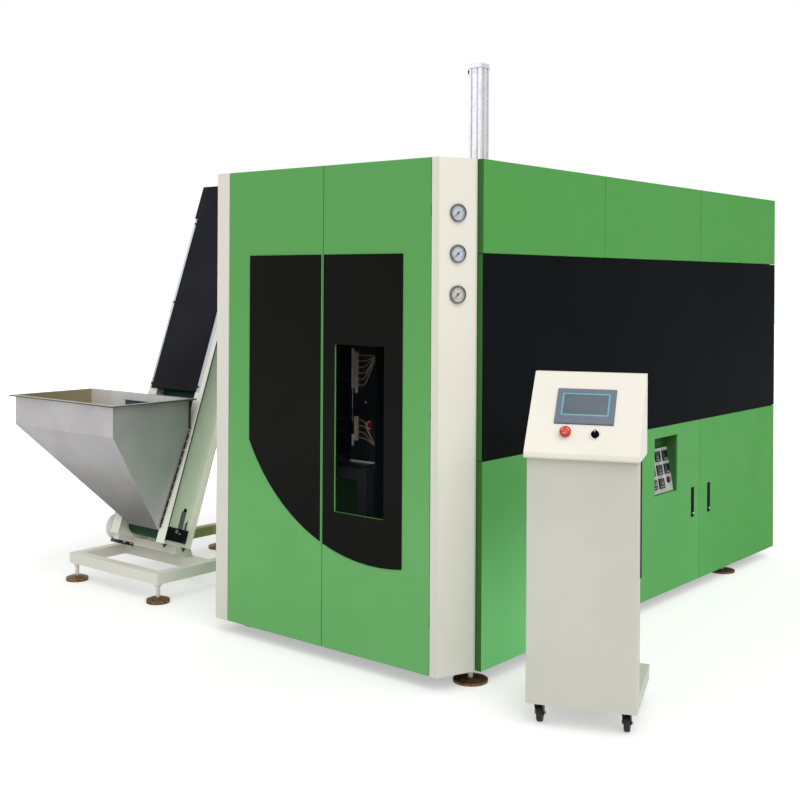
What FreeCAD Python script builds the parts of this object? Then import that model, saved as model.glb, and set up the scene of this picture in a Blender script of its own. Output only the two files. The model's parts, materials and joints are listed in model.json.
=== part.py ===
import FreeCAD, Part
import math
import os
import re

import Sketcher
from FreeCAD import Placement, Rotation, Vector

# Stretch blow moulding machine: a boxed machine cabinet, a preform loader with hopper and elevator at
# its left, and a control pedestal at its right front. Millimetres, +Z up, +X right along the front and
# +Y back along the side. The origin is the underside of the cabinet's front left levelling foot.

# ---------------------------------------------------------------------------------------------------
# Driving dimensions. Lengths are in millimetres and angles in degrees. A text that starts with an
# equals sign is worked out from the others.
# ---------------------------------------------------------------------------------------------------
SIZES = {
    # cabinet, measured from its outer front left corner on the floor
    "cabinet_width": 1311, "cabinet_height": 2000, "skirt_height": 55,
    "side_start": 166, "front_bay": 919, "bay_length": 951,
    "waist_low": 853, "waist_high": 1639,
    "sheet": 2, "skin_depth": 30, "door_depth": 24, "edge_radius": 3,
    "seam_gap": 3, "door_gap": 4.5, "rest_gap": 0.3,
    # frame of rectangular tube
    "tube": 50, "deep_tube": 75, "thin_tube": 25, "base_bottom": 60, "base_height": 80, "tie_width": 40,
    "brace_inset": 15,
    # hinges
    "hinge_inset": 9, "pin_radius": 4, "running_gap": 0.06, "bracket_height": 40, "bracket_width": 9,
    "knuckle": 14, "knuckle_height": 20, "hinge_end": 180, "knuckle_gap": 0.5, "pin_reach": 16,
    # front
    "left_column": 76, "left_door": 553.5, "split_gap": 4, "right_column": 118, "right_strip": 35,
    "gauge_face_side": 57, "gauge_face_run": 152, "column_sheet": 3,
    "glass_left": 211, "glass_right": 1056, "glass_top": 1640, "glass": 3,
    "glass_edge": 0.8,
    "arc_x": 927.5, "arc_z": 1230.7, "arc_radius": 808,
    "window_left": 704, "window_right": 965, "window_low": 610, "window_high": 1280, "window_rim": 8,
    # pressure gauges
    "gauge_radius": 34.5, "gauge_body": 30, "gauge_proud": 11, "gauge_back": 24, "gauge_top": 1792,
    "gauge_pitch": 153.5, "gauge_wall": 3, "gauge_floor": 4, "spindle": 2, "needle_length": 24,
    "needle_tail": 9, "needle_hub": 4.5, "needle_zero": 132, "needle_root": 3.2, "needle_tip": 1,
    "needle_sheet": 1.2, "needle_boss": 2.5, "gauge_dial": 0.5, "gauge_lip": 1, "gauge_slant": 3,
    "spindle_in": 2, "needle_in": 3,
    # recess and handles in the side doors
    "recess_start": 1557, "recess_width": 235, "recess_low": 528, "recess_height": 272,
    "recess_depth": 75, "panel_low_depth": 20, "panel_length": 210, "panel_tilt": 10.5,
    "panel_sheet": 3, "controller": 48, "column_pitch": 75, "row_pitch": 64,
    "controller_proud": 7, "controller_left": 23, "controller_low": 20,
    "push_low": 54, "push_radius": 11, "push_ring": 15, "push_travel": 4, "push_proud": 6,
    "handle_width": 28, "handle_height": 147, "handle_proud": 3, "handle_depth": 16, "handle_low": 375,
    "handle_offset": 78, "handle_wall": 4, "handle_edge": 1.5, "key_radius": 7, "key_depth": 3,
    "key_proud": 2, "lever_height": 104, "lever_depth": 10, "lever_pin": 2.5,
    # levelling feet
    "foot_radius": 68, "foot_pad": 16, "foot_stem": 10, "foot_nut": 17, "foot_nut_height": 12,
    "foot_rim": 0.6, "foot_crown": 0.45,
    "foot_side": 70, "foot_front": 195, "foot_middle": 1325, "foot_rear": 2460,
    # machine bed and clamp unit
    "bed_top": 780, "bed_plate": 20, "station": 1218, "platen": 35, "clamp_room": 2,
    "parting": "=skin_depth + thin_tube + tube + clamp_room + tie_nut_height + 2 * platen"
               " + clamp_length + clamp_gap + clamp_stroke + mould_depth",
    "platen_height": 400, "platen_width": 330, "clamp_stroke": 100, "mould_depth": 95,
    "mould_height": 290, "mould_width": 230, "mould_low": 40, "tie_radius": 14, "tie_inset": 32,
    "tie_low": 47, "tie_nut": 22, "tie_nut_height": 13, "platen_edge": 6, "clamp_rod": 20,
    "clamp_radius": 62, "clamp_length": 130, "clamp_flange": 18, "clamp_rim": 6, "clamp_gap": 15,
    "cylinder_floor": 5, "piston_start": 8,
    "cavity_pitch": 112, "bottle_radius": 33, "bottle_height": 205, "neck_radius": 14,
    "neck_height": 26, "shoulder": 42, "shoulder_radius": 67.2, "bottle_base": 14, "bottle_punt": 6,
    "grip_low": 61.5, "grip_middle": 73.8, "grip_high": 86.1, "grip_depth": 3,
    # stretch unit
    "bridge_top": 1700, "bridge_plate": 22, "bridge_post": 50, "bridge_depth": 190,
    "bridge_gap": 20,
    "cylinder_size": 75, "cylinder_top": 2599, "cylinder_corner": 9, "slot_width": 9, "slot_depth": 7,
    "slot_pitch": 34, "end_cap": 22, "carriage_top": 1590, "carriage_plate": 25, "carriage_edge": 8,
    "carriage_width": 230, "carriage_depth": 100, "stretch_rod": 6, "stretch_rod_length": 320,
    "guide_radius": 9, "guide_pitch": 170, "guide_end": 57, "piston_rod": 9,
    "stretch_stroke": 230,
    # infrared oven
    "oven_front": 220, "oven_length": 620, "lane": 140, "bank_width": 130, "bank_height": 480,
    "bank_sheet": 3, "bank_skirt": 220,
    "lamp_radius": 5, "lamp_pitch": 25, "lamp_low": 100, "lamp_high": 320,
    "lamp_stand": 30, "strip_width": 14, "strip_depth": 12, "wire_radius": 1.6, "wire_gather": 92,
    "wire_apart": 3.6, "wire_layer": 2.5,
    # preform loader
    "loader_left": -1219, "loader_right": -519, "loader_front": 96, "loader_back": 1104,
    "loader_bar": 50, "loader_low": 89, "loader_high": 141, "cross_bar": 407,
    "loader_foot_radius": 56, "loader_foot_inset": 27, "loader_pad": 26,
    "leg_width": 38, "leg_depth": 35, "leg_back": 450, "leg_top": 250,
    "tie_deep": 132, "tie_bar": 40, "bracket_plate": 10, "bracket_rise": 60, "rear_post_top": 1640,
    "lean": 19, "elevator_left": -1072, "elevator_right": -640, "elevator_y": 235,
    "elevator_z": 246, "elevator_length": 1905, "cleat_front": 12, "cleat_back": 3,
    "elevator_depth": "=cleat_front + 2 * (cleat + belt + roller_radius) + cleat_back",
    "roller_depth": "=cleat_front + cleat + belt + roller_radius", "plate": 3, "flange": 45,
    "inner_lip": 20,
    "hood_depth": 476, "hood_start": 1500, "hood_rise": 100, "back_start": 120, "slope_sheet": 2.2,
    "cover_start": 762, "cover_proud": 8, "cover_left": 22, "cover_right": 60, "cover_head": 1719,
    "roller_radius": 52, "belt": 4, "roller_low": 70, "roller_high": 1800,
    "cleat": 24, "cleat_thick": 6, "cleats": 10, "cleat_inset": 8, "belt_side_gap": 34,
    "axle_radius": 10, "axle_end": 8,
    "slot_start": 85, "slot_length": 105, "slot_gauge": 23, "slot_deep": 107,
    "slit_length": 49, "slit_gauge": 6, "slit_deep": 150,
    "tension_start": 20, "tension_length": 65, "tension_deep": 36, "tension_width": 132,
    "tension_plate": 6,
    "hopper_left": -1472, "hopper_right": -657, "hopper_front": -60, "hopper_back": 407,
    "hopper_top": 941, "hopper_rim": 151, "hopper_lip": 24, "hopper_wall": 3,
    "outlet_left": -925, "outlet_right": -700, "outlet_front": 245,
    "outlet_height": 303, "outlet_floor": 10, "window_rise": 205,
    "chute_width": 85, "chute_height": 80, "chute_fall": 14, "chute_y": 1115,
    "chute_top": 1606, "chute_length": 850, "chute_room": 8, "deflector_rise": 130,
    "motor_radius": 64, "motor_length": 85, "motor_mount": 40, "motor_drop": 36, "motor_head": 34,
    # control pedestal
    "pedestal_gap": 348, "pedestal_x": "=cabinet_width + pedestal_gap", "pedestal_y": -57,
    "pedestal_turn": 21.9, "pedestal_width": 381,
    "column_depth": 70, "base_depth": 403, "base_low": 80, "base_high": 130, "base_sheet": 3,
    "head_low": 930, "head_top": 1213, "head_over": 6, "head_nose": 28, "head_nose_height": 22,
    "head_crown": 187, "head_depth": 217, "nose_radius": 9,
    "bezel_width": 204, "bezel_height": 145, "bezel_left": 92, "bezel_low": 119, "bezel_proud": 7,
    "screen_margin": 18, "screen_recess": 2, "panel_body": 38, "panel_body_inset": 12,
    "estop_x": 137, "button_z": 79, "estop_radius": 20, "estop_travel": 4, "estop_cap": 12,
    "estop_neck": 14, "estop_neck_length": 6, "button_stem": 11, "button_depth": 30,
    "selector_x": 238, "selector_radius": 12, "selector_rim": 2, "selector_cap": 8, "selector_grip": 10,
    "selector_bar": 7.2,
    "caster_x": 40, "caster_y": 45, "wheel_radius": 30, "wheel_width": 20, "wheel_axle": 4,
    "caster_trail": 18, "fork_plate": 4, "fork_wall": 3, "fork_gap": 2, "swivel_radius": 5,
    "swivel_boss": 14, "swivel_length": 28, "fork_reach": 17, "fork_lug": 6, "fork_pin": 2,
    "wheel_edge": 4, "wheel_hub": 8.8,
}

doc = FreeCAD.newDocument("blow_moulding_machine")
sheet = doc.addObject("Spreadsheet::Sheet", "Sizes")
for row, (alias, number) in enumerate(SIZES.items(), start=1):
    sheet.set(f"A{row}", alias)
    sheet.set(f"B{row}", str(number))
    sheet.setAlias(f"B{row}", alias)
doc.recompute()

parts = {}
X, Y, Z = Vector(1, 0, 0), Vector(0, 1, 0), Vector(0, 0, 1)


# ---------------------------------------------------------------------------------------------------
# Helpers. A size is given as text such as "cabinet_width - 2 * tube", and stays bound to the sheet.
# ---------------------------------------------------------------------------------------------------
def formula(text):
    """The text with each size name turned into a reference to its cell."""
    return re.sub(r"[a-z][a-z_]*", lambda word: "Sizes." + word[0] if word[0] in SIZES else word[0],
                  str(text))


def bind(item, **sizes):
    """Bind properties to sizes; two underscores stand for a dot."""
    for name, text in sizes.items():
        item.setExpression(name.replace("__", "."), formula(text))


def value(text):
    found = sheet.evalExpression(formula(text))
    return float(getattr(found, "Value", found))


def place(item, x=0, y=0, z=0, axis=None, angle=0):
    """Put an item at a point, turned about an axis through that point."""
    if axis:
        item.Placement = Placement(Vector(), Rotation(axis, value(angle)))
    if isinstance(angle, str):
        bind(item, Placement__Rotation__Angle=angle)
    bind(item, Placement__Base__x=x, Placement__Base__y=y, Placement__Base__z=z)
    return item


def block(x, y, z, length, width, height):
    item = doc.addObject("Part::Box", "Block")
    bind(item, Length=length, Width=width, Height=height)
    return place(item, x, y, z)


def rod(x, y, z, radius, length, along=Z):
    item = doc.addObject("Part::Cylinder", "Rod")
    bind(item, Radius=radius, Height=length)
    if along == Z:
        return place(item, x, y, z)
    return place(item, x, y, z, *((Y, 90) if along == X else (X, -90)))


def cut(base, *tools):
    for tool in tools:
        item = doc.addObject("Part::Cut", "Cut")
        item.Base = base
        item.Tool = tool
        item.Refine = True
        base = item
    return base


def fuse(*items):
    item = doc.addObject("Part::MultiFuse", "Fuse")
    item.Shapes = list(items)
    item.Refine = True
    return item


def group(*items):
    item = doc.addObject("Part::Compound", "Group")
    item.Links = list(items)
    return item


def part(name, item, x="0", y="0", z="0", axis=None, angle=0):
    """Name a finished sub-part and place it, given its place from the cabinet's front left corner."""
    item.Label = name
    parts[name] = item
    return place(item, f"({x}) - foot_side", f"({y}) - foot_front", z, axis, angle)


def new_body(name="Body"):
    return doc.addObject("PartDesign::Body", name)


def feature(body, kind, **sizes):
    item = body.newObject("PartDesign::" + kind, kind)
    bind(item, **sizes)
    return item


def add_box(body, x, y, z, length, width, height, kind="AdditiveBox"):
    return place(feature(body, kind, Length=length, Width=width, Height=height), x, y, z)


def cut_box(body, *sizes):
    return add_box(body, *sizes, kind="SubtractiveBox")


def add_rod(body, x, y, z, radius, length, along=Z, kind="AdditiveCylinder"):
    item = feature(body, kind, Radius=radius, Height=length)
    if along == Z:
        return place(item, x, y, z)
    return place(item, x, y, z, *((Y, 90) if along == X else (X, -90)))


def cut_rod(body, *sizes):
    return add_rod(body, *sizes, kind="SubtractiveCylinder")


def outline(body, plane, corners):
    """A closed sketch on one of the body's own planes.

    Each corner is (x, y), or (x, y, radius, side) where an arc of that radius starts there; side 1
    swells to the right of the way it runs and -1 to the left.
    """
    sketch = body.newObject("Sketcher::SketchObject", "Outline")
    support = [o for o in body.Origin.OriginFeatures if o.Role == plane][0]
    sketch.AttachmentSupport = [(support, "")]
    sketch.MapMode = "FlatFace"
    points = [Vector(value(corner[0]), value(corner[1]), 0) for corner in corners]
    ends = []
    for index, corner in enumerate(corners):
        start, end = points[index], points[(index + 1) % len(points)]
        if len(corner) == 2:
            sketch.addGeometry(Part.LineSegment(start, end), False)
            ends.append((1, 2))
            continue
        radius, side = value(corner[2]), corner[3]
        chord = end - start
        across = Vector(chord.y, -chord.x, 0).normalize() * side
        bulge = radius - math.sqrt(radius ** 2 - (chord.Length / 2) ** 2)
        arc = Part.ArcOfCircle(start, (start + end) * 0.5 + across * bulge, end)
        sketch.addGeometry(arc, False)
        ends.append((1, 2) if (arc.StartPoint - start).Length < 1e-6 else (2, 1))
    for index in range(len(corners)):
        following = (index + 1) % len(corners)
        sketch.addConstraint(Sketcher.Constraint("Coincident", index, ends[index][1],
                                                 following, ends[following][0]))
    for index, corner in enumerate(corners):
        for kind, text, number in (("DistanceX", corner[0], points[index].x),
                                   ("DistanceY", corner[1], points[index].y)):
            row = sketch.addConstraint(Sketcher.Constraint(kind, -1, 1, index, ends[index][0], number))
            sketch.setExpression(f"Constraints[{row}]", formula(text))
        if len(corner) == 4:
            row = sketch.addConstraint(Sketcher.Constraint("Radius", index, value(corner[2])))
            sketch.setExpression(f"Constraints[{row}]", formula(corner[2]))
    return sketch


def rectangle(body, plane, x, y, width, height):
    right, top = f"({x}) + ({width})", f"({y}) + ({height})"
    return outline(body, plane, [(x, y), (right, y), (right, top), (x, top)])


def pad(body, sketch, length, reverse=False):
    item = feature(body, "Pad", Length=length)
    item.Profile = sketch
    item.Reversed = reverse
    doc.recompute()
    return body


def pocket(body, sketch, length, reverse=False):
    before = body.Shape.Volume
    item = feature(body, "Pocket", Length=length)
    item.Profile = sketch
    item.Reversed = reverse
    doc.recompute()
    if body.Shape.Volume > before - 1e-3:
        raise ValueError("a pocket cuts nothing")
    return body


def prism(plane, corners, length, reverse=False):
    """A body padded from an outline; on the XZ plane it grows back, along +Y, when reversed."""
    body = new_body()
    return pad(body, outline(body, plane, corners), length, reverse)


def round_edges(body, radius, chosen):
    """Round the edges of the body's last feature whose bounding boxes are chosen."""
    doc.recompute()
    last = body.Tip
    names = [f"Edge{n}" for n, edge in enumerate(last.Shape.Edges, start=1) if chosen(edge.BoundBox)]
    item = feature(body, "Fillet", Radius=radius)
    item.Base = (last, names)
    doc.recompute()
    return body


def tray(width, height, depth="skin_depth"):
    """A folded sheet: its face in the plane y = 0 and its edges turned back by the depth."""
    body = new_body("Tray")
    pad(body, rectangle(body, "XZ_Plane", "0", "0", width, height), depth, True)
    round_edges(body, "edge_radius", lambda box: box.YMax < 1e-6)
    cut_box(body, "sheet", "sheet", "sheet", f"{width} - 2 * sheet", depth, f"{height} - 2 * sheet")
    return body


CABINET_LENGTH = "(side_start + front_bay + 2 * bay_length)"
SEAM_ONE = "(side_start + front_bay)"
SEAM_TWO = "(side_start + front_bay + bay_length)"
LEFT_DOOR_START = "(left_column + door_gap)"
RIGHT_DOOR_START = "(left_column + door_gap + left_door + split_gap)"
RIGHT_DOOR = "(cabinet_width - right_column - left_column - 2 * door_gap - left_door - split_gap)"
DOOR_HEIGHT = "(cabinet_height - skirt_height)"
SIDE_DOOR = "(bay_length - seam_gap)"
SIDE_DOOR_HEIGHT = "(waist_low - skirt_height - seam_gap)"
INNER_LEFT = "(skin_depth + deep_tube)"
INNER_SPAN = "(cabinet_width - 2 * (skin_depth + deep_tube))"
BANK_FACE = "(parting + lane / 2 + bank_width)"
BED_EDGE = f"({BANK_FACE} - bank_sheet)"
BED_BACK = f"({SEAM_ONE} - tube / 2)"
BED_BAR = "(bed_top - bed_plate - tube)"


# ---------------------------------------------------------------------------------------------------
# Frame and feet
# ---------------------------------------------------------------------------------------------------
def from_side(side, inset, width):
    """x of a bar that lies an inset in from the left or the right outer face."""
    return inset if side == "left" else f"cabinet_width - ({inset}) - ({width})"


def hinge_heights(height, middle):
    """Heights of a door's hinges, above its lower edge."""
    found = ["hinge_end", f"{height} - hinge_end - bracket_height"]
    if middle:
        found.append(f"({height} - bracket_height) / 2")
    return found


def hinge_bracket(reach):
    """A bar that stands out from a post and carries an upright hinge pin at the local origin."""
    arm = block("-bracket_width / 2", "-bracket_width / 2", "0", "bracket_width",
                f"({reach}) - hinge_inset + bracket_width / 2", "bracket_height")
    pin = rod("0", "0", "-pin_reach", "pin_radius", "bracket_height + 2 * pin_reach")
    return fuse(arm, pin)


def main_frame():
    bars = []
    top = "cabinet_height - skin_depth - tube"
    post_top = "cabinet_height - skin_depth"
    post_low = "base_bottom + base_height"
    start = "side_start + seam_gap"
    run = f"({CABINET_LENGTH} - tube - side_start - seam_gap)"
    rear = f"{CABINET_LENGTH} - tube"
    posts = [start, f"{SEAM_ONE} - tube / 2", f"{SEAM_TWO} - tube / 2"]
    door_posts = {"left": "left_column + door_gap + hinge_inset - tube / 2",
                  "right": "cabinet_width - right_column - door_gap - hinge_inset - tube / 2"}
    for side in ("left", "right"):
        inner = from_side(side, "skin_depth + thin_tube", "tube")
        deep = from_side(side, "skin_depth", "deep_tube")
        thin = from_side(side, "skin_depth", "thin_tube")
        bars.append(block(deep, start, "base_bottom", "deep_tube", run, "base_height"))
        bars.append(block(deep, start, top, "deep_tube", run, "tube"))
        bars.append(block(deep, rear, "base_bottom", "deep_tube", "tube", f"{post_top} - base_bottom"))
        for place_y in posts:
            bars.append(block(inner, place_y, post_low, "tube", "tube", f"{top} - ({post_low})"))
        for waist in ("waist_low", "waist_high"):
            bars.append(block(thin, start, f"{waist} - tube / 2", "thin_tube", run, "tube"))
        front = door_posts[side]
        bars.append(block(front, "skin_depth", "base_bottom", "tube", "tube",
                          f"{post_top} - base_bottom"))
        for low in ("base_bottom", top):
            bars.append(block(front, "skin_depth + tube", low, "tie_width",
                              "side_start + seam_gap - skin_depth - tube", "tube"))
    for low in ("base_bottom", top):
        # joins the right door post's tie to the side frame, which lies further out
        bars.append(block(f"{door_posts['right']} + tie_width", "side_start + seam_gap - tube", low,
                          "right_column - skin_depth - deep_tube + tube + door_gap + hinge_inset"
                          " + tube / 2 - tie_width - brace_inset", "tube", "tube"))
        bars.append(block(f"{door_posts['left']} + tube", "skin_depth", low,
                          f"{door_posts['right']} - ({door_posts['left']}) - tube", "tube", "tube"))
    rear_cross = f"{CABINET_LENGTH} - skin_depth - tube"
    for place_y in posts + [rear_cross]:
        for low in ("base_bottom", top):
            bars.append(block(INNER_LEFT, place_y, low, INNER_SPAN, "tube", "tube"))
        span = f"({BED_EDGE} - {INNER_LEFT})" if place_y == start else INNER_SPAN
        bars.append(block(INNER_LEFT, place_y, BED_BAR, span, "tube", "tube"))
    # the bed ends beside the oven in the front bay, on a post and a bar of its own
    edge = f"{BED_EDGE} - tube"
    bars.append(block(edge, start, "base_bottom + tube", "tube", "tube",
                      f"{BED_BAR} - base_bottom - tube"))
    bars.append(block(edge, f"{start} + tube", BED_BAR, "tube", f"{BED_BACK} - ({start}) - tube",
                      "tube"))
    for axis_x in (f"{LEFT_DOOR_START} + hinge_inset",
                   f"{RIGHT_DOOR_START} + {RIGHT_DOOR} - hinge_inset"):
        for low in hinge_heights(DOOR_HEIGHT, True):
            bars.append(place(hinge_bracket("skin_depth"), axis_x, "hinge_inset",
                              f"skirt_height + {low}"))
    for axis_y, reach in ((f"{SEAM_ONE} + seam_gap / 2 + hinge_inset", "skin_depth + thin_tube"),
                          (f"{CABINET_LENGTH} - seam_gap / 2 - hinge_inset", "skin_depth")):
        for low in hinge_heights(SIDE_DOOR_HEIGHT, False):
            bars.append(place(hinge_bracket(reach), "cabinet_width - hinge_inset", axis_y,
                              f"skirt_height + {low}", Z, 90))
    part("main_frame", group(*bars))
    notch, back = f"({BED_EDGE} - {INNER_LEFT})", f"({BED_BACK} - ({start}))"
    bed_length = f"({CABINET_LENGTH} - skin_depth - side_start - seam_gap)"
    bed = prism("XY_Plane", [("0", "0"), (notch, "0"), (notch, back), (INNER_SPAN, back),
                             (INNER_SPAN, bed_length), ("0", bed_length)], "bed_plate")
    part("machine_bed", bed, INNER_LEFT, start, "bed_top - bed_plate")


def levelling_foot(x, y, radius, pad_height, top):
    """A cast pad, a screw and its lock nut, up to the underside of the frame."""
    rim = f"{pad_height} * foot_rim"
    disc = rod(x, y, "0", radius, rim)
    slope = doc.addObject("Part::Cone", "Slope")
    bind(slope, Radius1=radius, Radius2=f"{radius} * foot_crown", Height=f"{pad_height} - {rim}")
    place(slope, x, y, rim)
    screw = rod(x, y, pad_height, "foot_stem", f"{top} - {pad_height}")
    nut = doc.addObject("Part::Prism", "Nut")
    bind(nut, Circumradius="foot_nut", Height="foot_nut_height")
    place(nut, x, y, f"{top} - foot_nut_height")
    return fuse(disc, slope, screw, nut)


def levelling_feet():
    feet = []
    for x in ("foot_side", "cabinet_width - foot_side"):
        for y in ("foot_front", "foot_middle", "foot_rear"):
            feet.append(levelling_foot(x, y, "foot_radius", "foot_pad", "base_bottom"))
    for x in ("loader_left + loader_foot_inset", "loader_right - loader_foot_inset"):
        for y in ("loader_front + loader_foot_inset", "loader_back - loader_foot_inset"):
            feet.append(levelling_foot(x, y, "loader_foot_radius", "loader_pad", "loader_low"))
    part("levelling_feet", group(*feet))


# ---------------------------------------------------------------------------------------------------
# Skins
# ---------------------------------------------------------------------------------------------------
def corner_columns():
    """The two painted front corner columns, folded from sheet, each with a cap at the top."""
    inner = "column_sheet"
    back = "side_start - seam_gap"
    left = prism("XY_Plane", [("0", "0"), ("left_column", "0"), ("left_column", "skin_depth"),
                              (f"left_column - {inner}", "skin_depth"), (f"left_column - {inner}", inner),
                              (inner, inner), (inner, back), ("0", back)], DOOR_HEIGHT)
    round_edges(left, "edge_radius", lambda box: box.XMax < 1e-6 and box.YMax < 1e-6)
    add_box(left, inner, inner, f"{DOOR_HEIGHT} - column_sheet", f"left_column - 2 * {inner}",
            "skin_depth - column_sheet", inner)
    part("front_left_column", left, "0", "0", "skirt_height")

    # drawn from the strip's left edge; the gauge face runs back at a slant from the strip
    face_end = "(right_strip + gauge_face_side)"
    slant = "(column_sheet * gauge_face_side / gauge_face_run)"
    right = prism("XY_Plane", [("0", "0"), ("right_strip", "0"), (face_end, "gauge_face_run"),
                               (face_end, back), (f"{face_end} - {inner}", back),
                               (f"{face_end} - {inner}", f"gauge_face_run + {slant}"),
                               (f"right_strip - {slant}", inner), (inner, inner),
                               (inner, "skin_depth"), ("0", "skin_depth")], DOOR_HEIGHT)
    cap = outline(right, "XY_Plane", [(inner, inner), (f"right_strip - {slant}", inner),
                                      (f"{face_end} - {inner}", f"gauge_face_run + {slant}"),
                                      (inner, f"gauge_face_run + {slant}")])
    bind(cap, AttachmentOffset__Base__z=f"{DOOR_HEIGHT} - column_sheet")
    pad(right, cap, inner)
    holes = [rod("0", f"-{inner}", f"gauge_top - skirt_height - {index} * gauge_pitch",
                 "gauge_body + rest_gap", "gauge_back", Y) for index in range(3)]
    tool = place(group(*holes), "right_strip + gauge_face_side / 2", "gauge_face_run / 2", "0",
                 Z, "atan(gauge_face_run / gauge_face_side)")
    part("front_right_column", cut(right, tool), "cabinet_width - right_column", "0", "skirt_height")


def right_skin(item, start, low):
    """Place a tray on the right side of the cabinet, with its face to +X."""
    return place(item, "cabinet_width", start, low, Z, 90)


def left_skin(item, end, low):
    return place(item, "0", end, low, Z, -90)


def waist_band(kind):
    """The long band at waist height on each side: a painted tray, or the black sheet on its face.

    The chute comes in through an opening in the left one.
    """
    length = f"({CABINET_LENGTH} - side_start - seam_gap)"
    height = "(waist_high - waist_low)"
    entry = "(chute_top + (elevator_right - flange) * tan(chute_fall))"
    found = []
    for side in ("right", "left"):
        if kind == "tray":
            band = tray(length, height, "(skin_depth - glass)")
        else:
            band = prism("XZ_Plane", [("0", "0"), (length, "0"), (length, height), ("0", height)],
                         "glass", True)
            round_edges(band, "glass_edge", lambda box: box.YMax < 1e-6)
        if side == "left":
            cut_box(band, f"{CABINET_LENGTH} - seam_gap / 2 - chute_y - chute_width - chute_room", "-1",
                    f"{entry} - waist_low - 2 * chute_room", "chute_width + 2 * chute_room",
                    "skin_depth + 1", "chute_height / cos(chute_fall) + 3 * chute_room")
        start = "glass" if kind == "tray" else "0"
        if side == "right":
            place(band, f"cabinet_width - {start}", "side_start + seam_gap / 2", "waist_low", Z, 90)
        else:
            place(band, start, f"{CABINET_LENGTH} - seam_gap / 2", "waist_low", Z, -90)
        found.append(band)
    return found


def side_panels():
    upper = ("waist_high + seam_gap", "(cabinet_height - waist_high - seam_gap)")
    lower = ("skirt_height", SIDE_DOOR_HEIGHT)
    bays = [("side_start", "front_bay"), (SEAM_ONE, "bay_length"), (SEAM_TWO, "bay_length")]
    panels = []
    for start, length in bays:
        width = f"({length} - seam_gap)"
        panels.append(right_skin(tray(width, upper[1]), f"{start} + seam_gap / 2", upper[0]))
        for low, height in (upper, lower):
            panels.append(left_skin(tray(width, height), f"{start} + {length} - seam_gap / 2", low))
    panels.append(right_skin(tray("(front_bay - seam_gap)", lower[1]), "side_start + seam_gap / 2",
                             lower[0]))
    part("side_panels", group(*panels, *waist_band("tray")))
    part("side_windows", group(*waist_band("sheet")))


def roof_and_rear():
    inset = "skin_depth + seam_gap"
    width = f"(cabinet_width - 2 * ({inset}))"
    trays = []
    front = tray("(cabinet_width - left_column - right_column - 2 * seam_gap)",
                 "(side_start - skin_depth - seam_gap)")
    trays.append(place(front, "left_column + seam_gap", "skin_depth", "cabinet_height", X, -90))
    for start, length in (("side_start", "front_bay"), (SEAM_ONE, "bay_length"), (SEAM_TWO, "bay_length")):
        panel = tray(width, f"({length} - seam_gap)")
        if start == SEAM_ONE:
            hole = "cylinder_size + 2 * chute_room"
            cut_box(panel, f"parting - ({hole}) / 2 - ({inset})", "-1",
                    f"station - ({hole}) / 2 - {SEAM_ONE} - seam_gap / 2", hole, "skin_depth", hole)
        trays.append(place(panel, inset, f"{start} + seam_gap / 2", "cabinet_height", X, -90))
    part("roof_panels", group(*trays))

    half = f"(({INNER_SPAN} - 3 * seam_gap) / 2)"
    rear = []
    for index in range(2):
        rear.append(place(tray(half, "(cabinet_height - skin_depth - skirt_height - seam_gap)"),
                          f"{INNER_LEFT} + seam_gap + {half} + {index} * ({half} + seam_gap)",
                          CABINET_LENGTH, "skirt_height", Z, 180))
    part("rear_panels", group(*rear))


# ---------------------------------------------------------------------------------------------------
# Doors
# ---------------------------------------------------------------------------------------------------
def door(width, height, far, middle):
    """A folded door with hinge knuckles inside one edge: the near one, at x = 0, or the far one."""
    body = tray(width, height, "door_depth")
    edge = f"({width} - 2 * hinge_inset)" if far else "0"
    for low in hinge_heights(height, middle):
        for knuckle in (f"{low} - knuckle_gap - knuckle_height", f"{low} + bracket_height + knuckle_gap"):
            add_box(body, f"{edge} + hinge_inset - knuckle / 2", "hinge_inset - knuckle / 2", knuckle,
                    "knuckle", "knuckle", "knuckle_height")
            cut_rod(body, f"{edge} + hinge_inset", "hinge_inset", knuckle, "pin_radius + running_gap",
                    "knuckle_height")
        notch = f"{width} - sheet" if far else "0"
        cut_box(body, notch, "sheet", f"{low} - 2 * knuckle_gap", "sheet", "door_depth",
                "bracket_height + 4 * knuckle_gap")
    return body


def arc_height(x):
    """Height of the glass's lower arc above the floor at a place across the front."""
    return f"(arc_z - sqrt(arc_radius ^ 2 - ({x} - arc_x) ^ 2))"


def front_doors():
    left = door("left_door", DOOR_HEIGHT, False, True)
    part("front_left_door", left, LEFT_DOOR_START, "0", "skirt_height")
    right = door(RIGHT_DOOR, DOOR_HEIGHT, True, True)
    window_x = f"window_left - {RIGHT_DOOR_START}"
    window = ("window_right - window_left", "window_high - window_low")
    add_box(right, f"{window_x} - sheet", "0", "window_low - skirt_height - sheet",
            f"{window[0]} + 2 * sheet", "window_rim", f"{window[1]} + 2 * sheet")
    cut_box(right, window_x, "0", "window_low - skirt_height", window[0], "window_rim", window[1])
    part("front_right_door", right, RIGHT_DOOR_START, "0", "skirt_height")

    # the black panes lie on the doors, drawn from the cabinet's left edge on the floor
    split_left, split_right = f"{LEFT_DOOR_START} + left_door", RIGHT_DOOR_START
    pane = prism("XZ_Plane", [("glass_left", "glass_top"),
                              ("glass_left", arc_height("glass_left"), "arc_radius", 1),
                              (split_left, arc_height(split_left)), (split_left, "glass_top")], "glass")
    part("front_left_glass", pane)
    pane = prism("XZ_Plane", [(split_right, "glass_top"),
                              (split_right, arc_height(split_right), "arc_radius", 1),
                              ("glass_right", arc_height("glass_right")), ("glass_right", "glass_top")],
                 "glass")
    cut_box(pane, "window_left", "-glass", "window_low", window[0], "glass", window[1])
    part("front_right_glass", pane)
    part("inspection_pane", block("0", "0", "0", window[0], "glass", window[1]),
         "window_left", "window_rim - glass", "window_low")


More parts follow.
